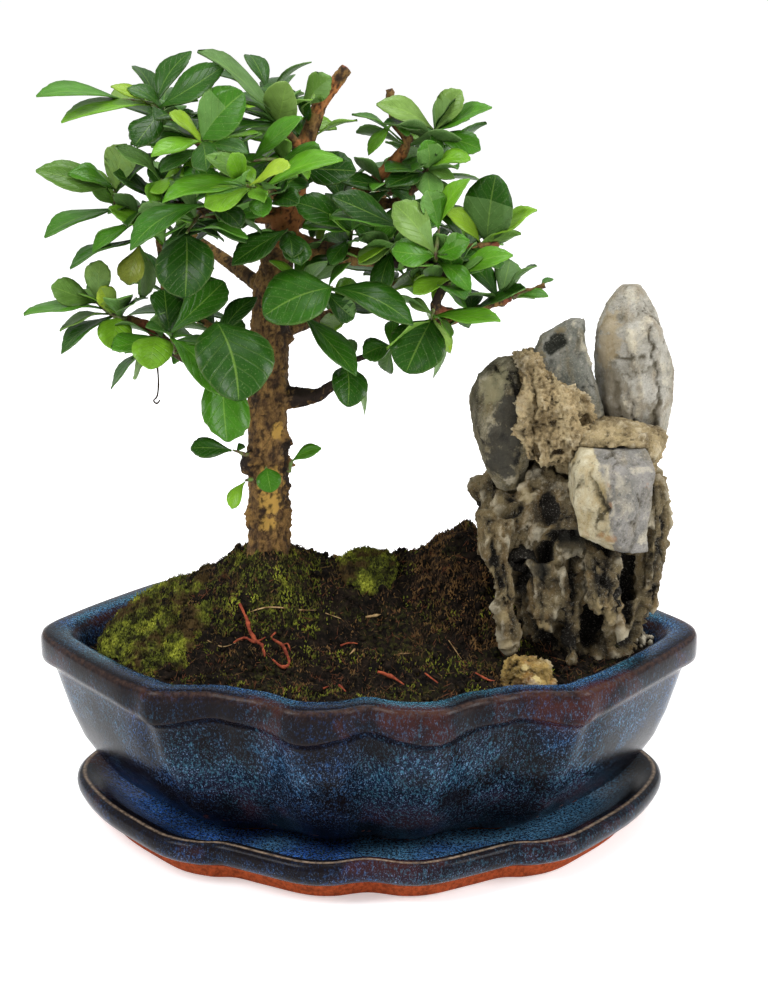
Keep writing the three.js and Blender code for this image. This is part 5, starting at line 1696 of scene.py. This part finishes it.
# %% Weathered stone, as a node group
weathered, given, result = new_group(
    "weathered_stone",
    [("Place", "Vector"), ("Tone_and_shade", "Float"), ("Light", "Color"), ("Dark", "Color"),
     ("Stain", "Color"), ("Deep", "Color"), ("Staining", "Float")],
    [("Colour", "Color"), ("Height", "Float")])
grain = speckle(weathered, given["Place"], 1600, 4, 0.75)
patches = speckle(weathered, given["Place"], 120, 6, 0.68)
streaks = speckle(weathered, stretch(weathered, given["Place"], (1, 1, 0.25)), 240, 5, 0.68)
light_and_dark = mix(weathered, mask(weathered, patches, 0.38, 0.6), given["Dark"], given["Light"])
stain_share = maths(weathered, "MULTIPLY", mask(weathered, streaks, 0.48, 0.62), given["Staining"])
stained = mix(weathered, stain_share, light_and_dark, given["Stain"])
# Painted highlight over wear: pale crests. Painted shade over dirt: the Deep colour in the hollows.
crest = mix(weathered, mask(weathered, given["Tone_and_shade"], 0.66, 1, 0, 0.5), stained, srgb("c8bfa6"))
sunk = mix(weathered, mask(weathered, given["Tone_and_shade"], 0.46, 0.1), crest, given["Deep"])
pale_grain = mix(weathered, mask(weathered, grain, 0.56, 0.76, 0, 0.4), sunk, srgb("d4cfc0"))
pits = mask(weathered, grain, 0.44, 0.3, 0, 0.6)
dark_grain = mix(weathered, pits, pale_grain, srgb("3a3228"), "MULTIPLY")
weathered.links.new(dark_grain, result["Colour"])
weathered.links.new(maths(weathered, "ADD", grain, patches), result["Height"])
print("group:", weathered.name)

# %% Stone finishes
def stone_colour(tree, place, light, dark, stain, deep, staining):
    tone_and_shade = attribute(tree, "tone_and_shade").outputs["Fac"]
    return use_group(tree, weathered, {
        "Place": place, "Tone_and_shade": tone_and_shade, "Light": srgb(light), "Dark": srgb(dark),
        "Stain": srgb(stain), "Deep": srgb(deep), "Staining": staining})


def stone_finish(name, colours, touches=()):
    """A stone with its own colours, and touches that are a colour, a share and spots."""
    material, tree, shader = new_material(name, Roughness=0.88, Specular_IOR_Level=0.15)
    place = own_place(tree)
    stone = stone_colour(tree, place, *colours)
    colour = stone["Colour"]
    for code, share, spots in touches:
        patch = maths(tree, "MULTIPLY", spot_share(tree, place, spots), share)
        colour = mix(tree, patch, colour, srgb(code))
    paint(tree, shader, colour)
    raise_surface(tree, shader, stone["Height"], 0.0008, 0.85)
    return material, tree, shader, place, colour


print("stone finishes read the attribute hollow")

# %% The pillar
pillar_cracks = (
    (0.7, 1.2, ((89, 169), (90.5, 160), (93, 148), (91.5, 134))),
    (0.7, 1.2, ((83.5, 149), (86, 136))), (0.6, 0.8, ((79, 159), (87, 159.5))),
    (0.8, 1.2, ((79, 150), (80.5, 138))), (0.9, -1, ((83, 168), (85, 158), (87, 148))),
)
pillar = weather(
    "rock_pillar", 0.8, 0, dents=0.35, chips=0.5, chip_size=11, ledges=0.15, grit=0.3, seed=1,
    planes=split_planes("rock_pillar", 7, 5), cracks=pillar_cracks)
pillar_finish = stone_finish("pillar_limestone", ("a29f95", "7e7a6e", "7c6d52", "5a5446", 0.5), [
    ("9c8a66", 0.55, [(75, -8, 170, 5), (76, -9, 163, 5), (74, -6, 158, 4)]),
    # Painted shade, with some brown stain: darker patches low on the pillar, mostly on its left.
    ("6f6654", 0.6, [(77, -10, 150, 6), (79, -10, 142, 5), (92, -8, 142, 4)]),
])[0]
show("pillar_stone", pillar, [pillar_finish], ["rock_pillar"])

# %% The slab
slab_cracks = (
    (0.5, -0.9, ((65.5, 170), (69, 161), (71.5, 155))), (0.9, 1.4, ((71, 166), (73.5, 156))),
)
# The slab's two caves are sunk and also painted dark, as shade.
slab = weather(
    "rock_slab", 0.8, 0, dents=0.3, chips=0.5, chip_size=11, ledges=0.15, grit=0.22, seed=2,
    front=-6, planes=split_planes("rock_slab", 6, 8), cracks=slab_cracks,
    caves=((60, 165, 2.2, 2.6, 1.5), (57.5, 162, 2, 2.2, 1.3)))
slab_finish = stone_finish("slab_limestone", ("7c7b72", "565850", "72674e", "2c2d27", 0.5), [
    ("776b4e", 0.8, [(55, -12, 162, 4), (59, -11, 169, 4.5), (53, -12, 156, 4)]),
    # Painted shade: the dark hollow near the top left of the slab.
    ("2a2a26", 0.6, [(60.5, -14, 165.5, 2.3), (58, -14, 162.5, 2)]),
    ("b9bdb4", 0.7, [(66, -13, 168, 1), (67.5, -13, 165, 1), (69, -14, 161.5, 1), (70.5, -14, 158, 1)]),
])[0]
show("slab_stone", slab, [slab_finish], ["rock_slab"])

# %% The boulder
boulder_cracks = (
    (0.7, 1.1, ((40, 156), (46, 151), (50, 146))), (0.8, 1.2, ((49, 150), (50.5, 138), (48, 126))),
)
boulder = weather(
    "rock_boulder", 0.8, 0, dents=0.4, chips=0.5, chip_size=12, ledges=0.2, grit=0.3, seed=3,
    front=-8, planes=split_planes("rock_boulder", 7, 12), cracks=boulder_cracks)
boulder_finish = stone_finish("boulder_limestone", ("7d7660", "4c4739", "6f6140", "1f1c16", 0.55), [
    ("2f2e2a", 0.85, [(46, -18, 143, 7), (44, -19, 135, 7), (42, -17, 127, 6)]),
    ("96906f", 0.5, [(38, -15, 150, 5), (41, -16, 155, 5)]),
])[0]
show("boulder_stone", boulder, [boulder_finish], ["rock_boulder"])

# %% [markdown]
# The block in front is painted as two faces: pale yellow-grey on the left, a painted light on
# the lit side, and blue-grey on the right, a painted shade, with a rusty skin along the lower
# edge. The finish uses the stone group twice and changes over where the faces meet, along a line
# that leans a little and wanders with a slow noise.

# %% The block
block_cracks = (
    (0.7, 1.5, ((69.5, 128), (72, 121), (74.3, 116))), (0.5, 0.8, ((74.3, 116), (71.5, 109))),
    (0.6, -0.6, ((74, 129), (75.5, 118), (76.5, 106))),
)
block = weather(
    "rock_block", 0.8, 0, dents=0.35, chips=0.5, chip_size=12, ledges=0.15, grit=0.2, seed=4,
    front=-25, cracks=block_cracks)
print("block:", len(block.verts), "points")

# %% The block's two faces
edge_start, edge_end = 0.0738, 0.0746
edge_height, edge_lean = 0.118, 0.19
block_finish, tree, shader, place, colour = stone_finish(
    "block_limestone", ("83807b", "66645f", "7a6f58", "3c372d", 0.4))
# Painted light and shade: the left face is painted as the lit side, paler and warmer, the right face as
# the shaded, blue-grey side.
lit_left_face = stone_colour(tree, place, "b9b197", "908567", "96804f", "4e4632", 0.5)["Colour"]
block_place = add_node(tree, "ShaderNodeSeparateXYZ", {"Vector": place}).outputs
above_middle = maths(tree, "SUBTRACT", block_place["Z"], edge_height)
slanted = maths(tree, "MULTIPLY", above_middle, edge_lean)
across_block = maths(tree, "ADD", block_place["X"], slanted)
wander = mask(tree, speckle(tree, place, 160), 0.3, 0.7, -0.001, 0.001)
shaded_right_share = mask(tree, maths(tree, "ADD", across_block, wander), edge_start, edge_end)
lit_and_shaded_faces = mix(tree, shaded_right_share, lit_left_face, colour)
rust = spot_share(tree, place, [
    (68, -35, 107.5, 2.6), (72, -36, 106.5, 2.6), (76, -36, 105.5, 2.4), (74.5, -37, 124, 1.6),
    (75, -37, 118, 1.4), (88, -34, 122, 2.2), (90, -33, 129, 2.4)])
rust_share = maths(tree, "MULTIPLY", rust, 0.45)
paint(tree, shader, mix(tree, rust_share, lit_and_shaded_faces, srgb("9a6c42")))
show("block_stone", block, [block_finish], ["rock_block"])

# %% [markdown]
# The mortar is sand and lime pushed into the joint by hand, so it is rough and pitted and takes
# no split planes. The long ridge over the block is a thin stone with ledges, and the yellowish
# stone at the foot is made lower than its solid, as it has sunk into the soil.

# %% The ridge and the mortar
ridge = weather(
    "rock_ridge", 0.8, 1, dents=1.2, chips=0.9, chip_size=6, ledges=0.9, grit=0.6, seed=5)
ridge_finish = stone_finish("ridge_stone", ("92825f", "5a4c35", "a29270", "2b2216", 0.6))[0]
show("ridge_stone", ridge, [ridge_finish], ["rock_ridge"])
# The mortar's caves are sunk and painted dark as shade; its hollows only sink.
mortar = weather(
    "rock_mortar", 0.6, 1, dents=1.4, chips=0.6, chip_size=4, ledges=0.3, grit=1.7, seed=6,
    front=-12,
    caves=((69, 141, 1.6, 2, 1.6), (60, 131, 2.6, 1, 1.4)),
    hollows=((49, 146, 5, 12, 3.5), (50, 131, 5, 6, 3), (64, 158, 5, 6, 4.5)))
mortar_finish = stone_finish("tan_mortar", ("a08d68", "66563a", "b1a17c", "352a19", 0.6), [
    ("5a4a30", 0.5, [(52, -20, 138, 2), (58, -22, 147, 1.6), (62, -22, 133, 2.4), (69, -18, 141, 2.4)]),
])[0]
show("mortar_bed", mortar, [mortar_finish], ["rock_mortar"])

# %% The foot stone
foot = weather(
    "foot_stone", 0.6, 1, dents=1.2, chips=1.8, chip_size=5, ledges=0.4, grit=0.8, seed=7)
foot_finish = stone_finish("foot_stone", ("a48a50", "5c4a28", "8a5f2c", "2e230e", 0.6), [
    ("dcc98e", 0.6, [(54, -43, 63, 2), (50, -42, 66, 2)]), ("4a3420", 0.7, [(48, -42, 60, 3)]),
])[0]
sunk_to, foot_share = 0.058, 0.8
bmesh.ops.scale(
    foot, verts=foot.verts, vec=(1, 1, foot_share), space=Matrix.Translation((0, 0, -sunk_to)))
show("foot_rock", foot, [foot_finish], ["foot_stone"])

# %% [markdown]
# The base is the oldest looking part: water has cut caves, flutes and shelves into it. Here the
# caves and the standing ribs between them follow the photograph, and noise that is drawn out
# upwards adds flutes and small caverns all round, also behind, where nothing is known.

# %% The hollowed base
# Each cave is sunk and painted dark as shade; the caverns from noise are painted dark too.
base_caves = (
    (57, 112, 2.6, 5, 3), (64, 103, 7, 3, 5), (75, 102, 7, 3, 5), (56, 95, 2.6, 6, 5),
    (66, 88, 2.6, 8, 5), (72, 71, 3, 8, 6), (57, 66, 4, 6, 5), (84, 87, 2.4, 13, 5),
    (49, 88, 1.8, 12, 4), (86, 66, 6, 4, 4), (40, 97, 1.4, 6, 2), (77, 91, 1.6, 2, 2),
    (81, 88, 1.2, 1.6, 2),
)
base_cracks = (
    (0.9, -1.4, ((38, 104), (39.5, 92), (43, 78), (44, 68))),
    (0.8, -1.2, ((42, 110), (50, 116), (56, 118))),
    (0.8, -1.2, ((51, 100), (53.5, 84), (52, 72))),
    (0.9, -1.2, ((91, 110), (92, 96), (90, 84))), (0.8, 1.4, ((44, 108), (43, 96), (46, 84))),
    (0.8, 1.4, ((94, 118), (95, 104), (93, 88))), (0.7, -1, ((60, 100), (63, 90), (60, 80))),
)
base = weather(
    "rock_body", 0.95, 0, dents=1.1, chips=1.7, chip_size=6, ledges=0.3, grit=0.6, seed=9,
    front=-8, caverns=0.8, flutes=1.0, caves=base_caves, cracks=base_cracks)
base_finish = stone_finish("base_limestone", ("74674b", "3b3427", "6a5636", "1a1712", 0.65), [
    # Pale ridge tips: paler stone, and painted highlight where the ridges catch the light.
    ("94845f", 0.5, [
        (44, -30, 69, 2.6), (43, -28, 78, 2), (39, -24, 92, 2), (66, -28, 71, 1.8), (56, -28, 75, 2),
        (77, -34, 80, 3.4), (74, -34, 82, 2.6), (91, -22, 84, 3), (92, -20, 98, 2.6), (50, -20, 116, 3),
    ]),
    # Painted shadow: dark grey under the boulder and the mortar and inside the caves.
    ("2a2a25", 0.6, [
        (57, -24, 113, 2.4), (66, -22, 102, 6), (78, -20, 101, 5), (84, -22, 86, 5),
        (55, -24, 93, 4),
    ]),
])[0]
show("hollowed_base", base, [base_finish], ["rock_body"])

# %% Grey chips by the rim
grey_chips = bmesh.new()
add_crumbs(
    grey_chips, spots(46, 131, 5.5, 12, (91, 5)), sizes=(0.7, 2.1), power=2, lift=0.5,
    widths=(0.5, 0.9))
chip_stone = two_tone(
    "grey_chips", "5a5244", "a39c8a", 330, Roughness=0.9, Specular_IOR_Level=0.15)
show("rim_chips", grey_chips, [chip_stone])
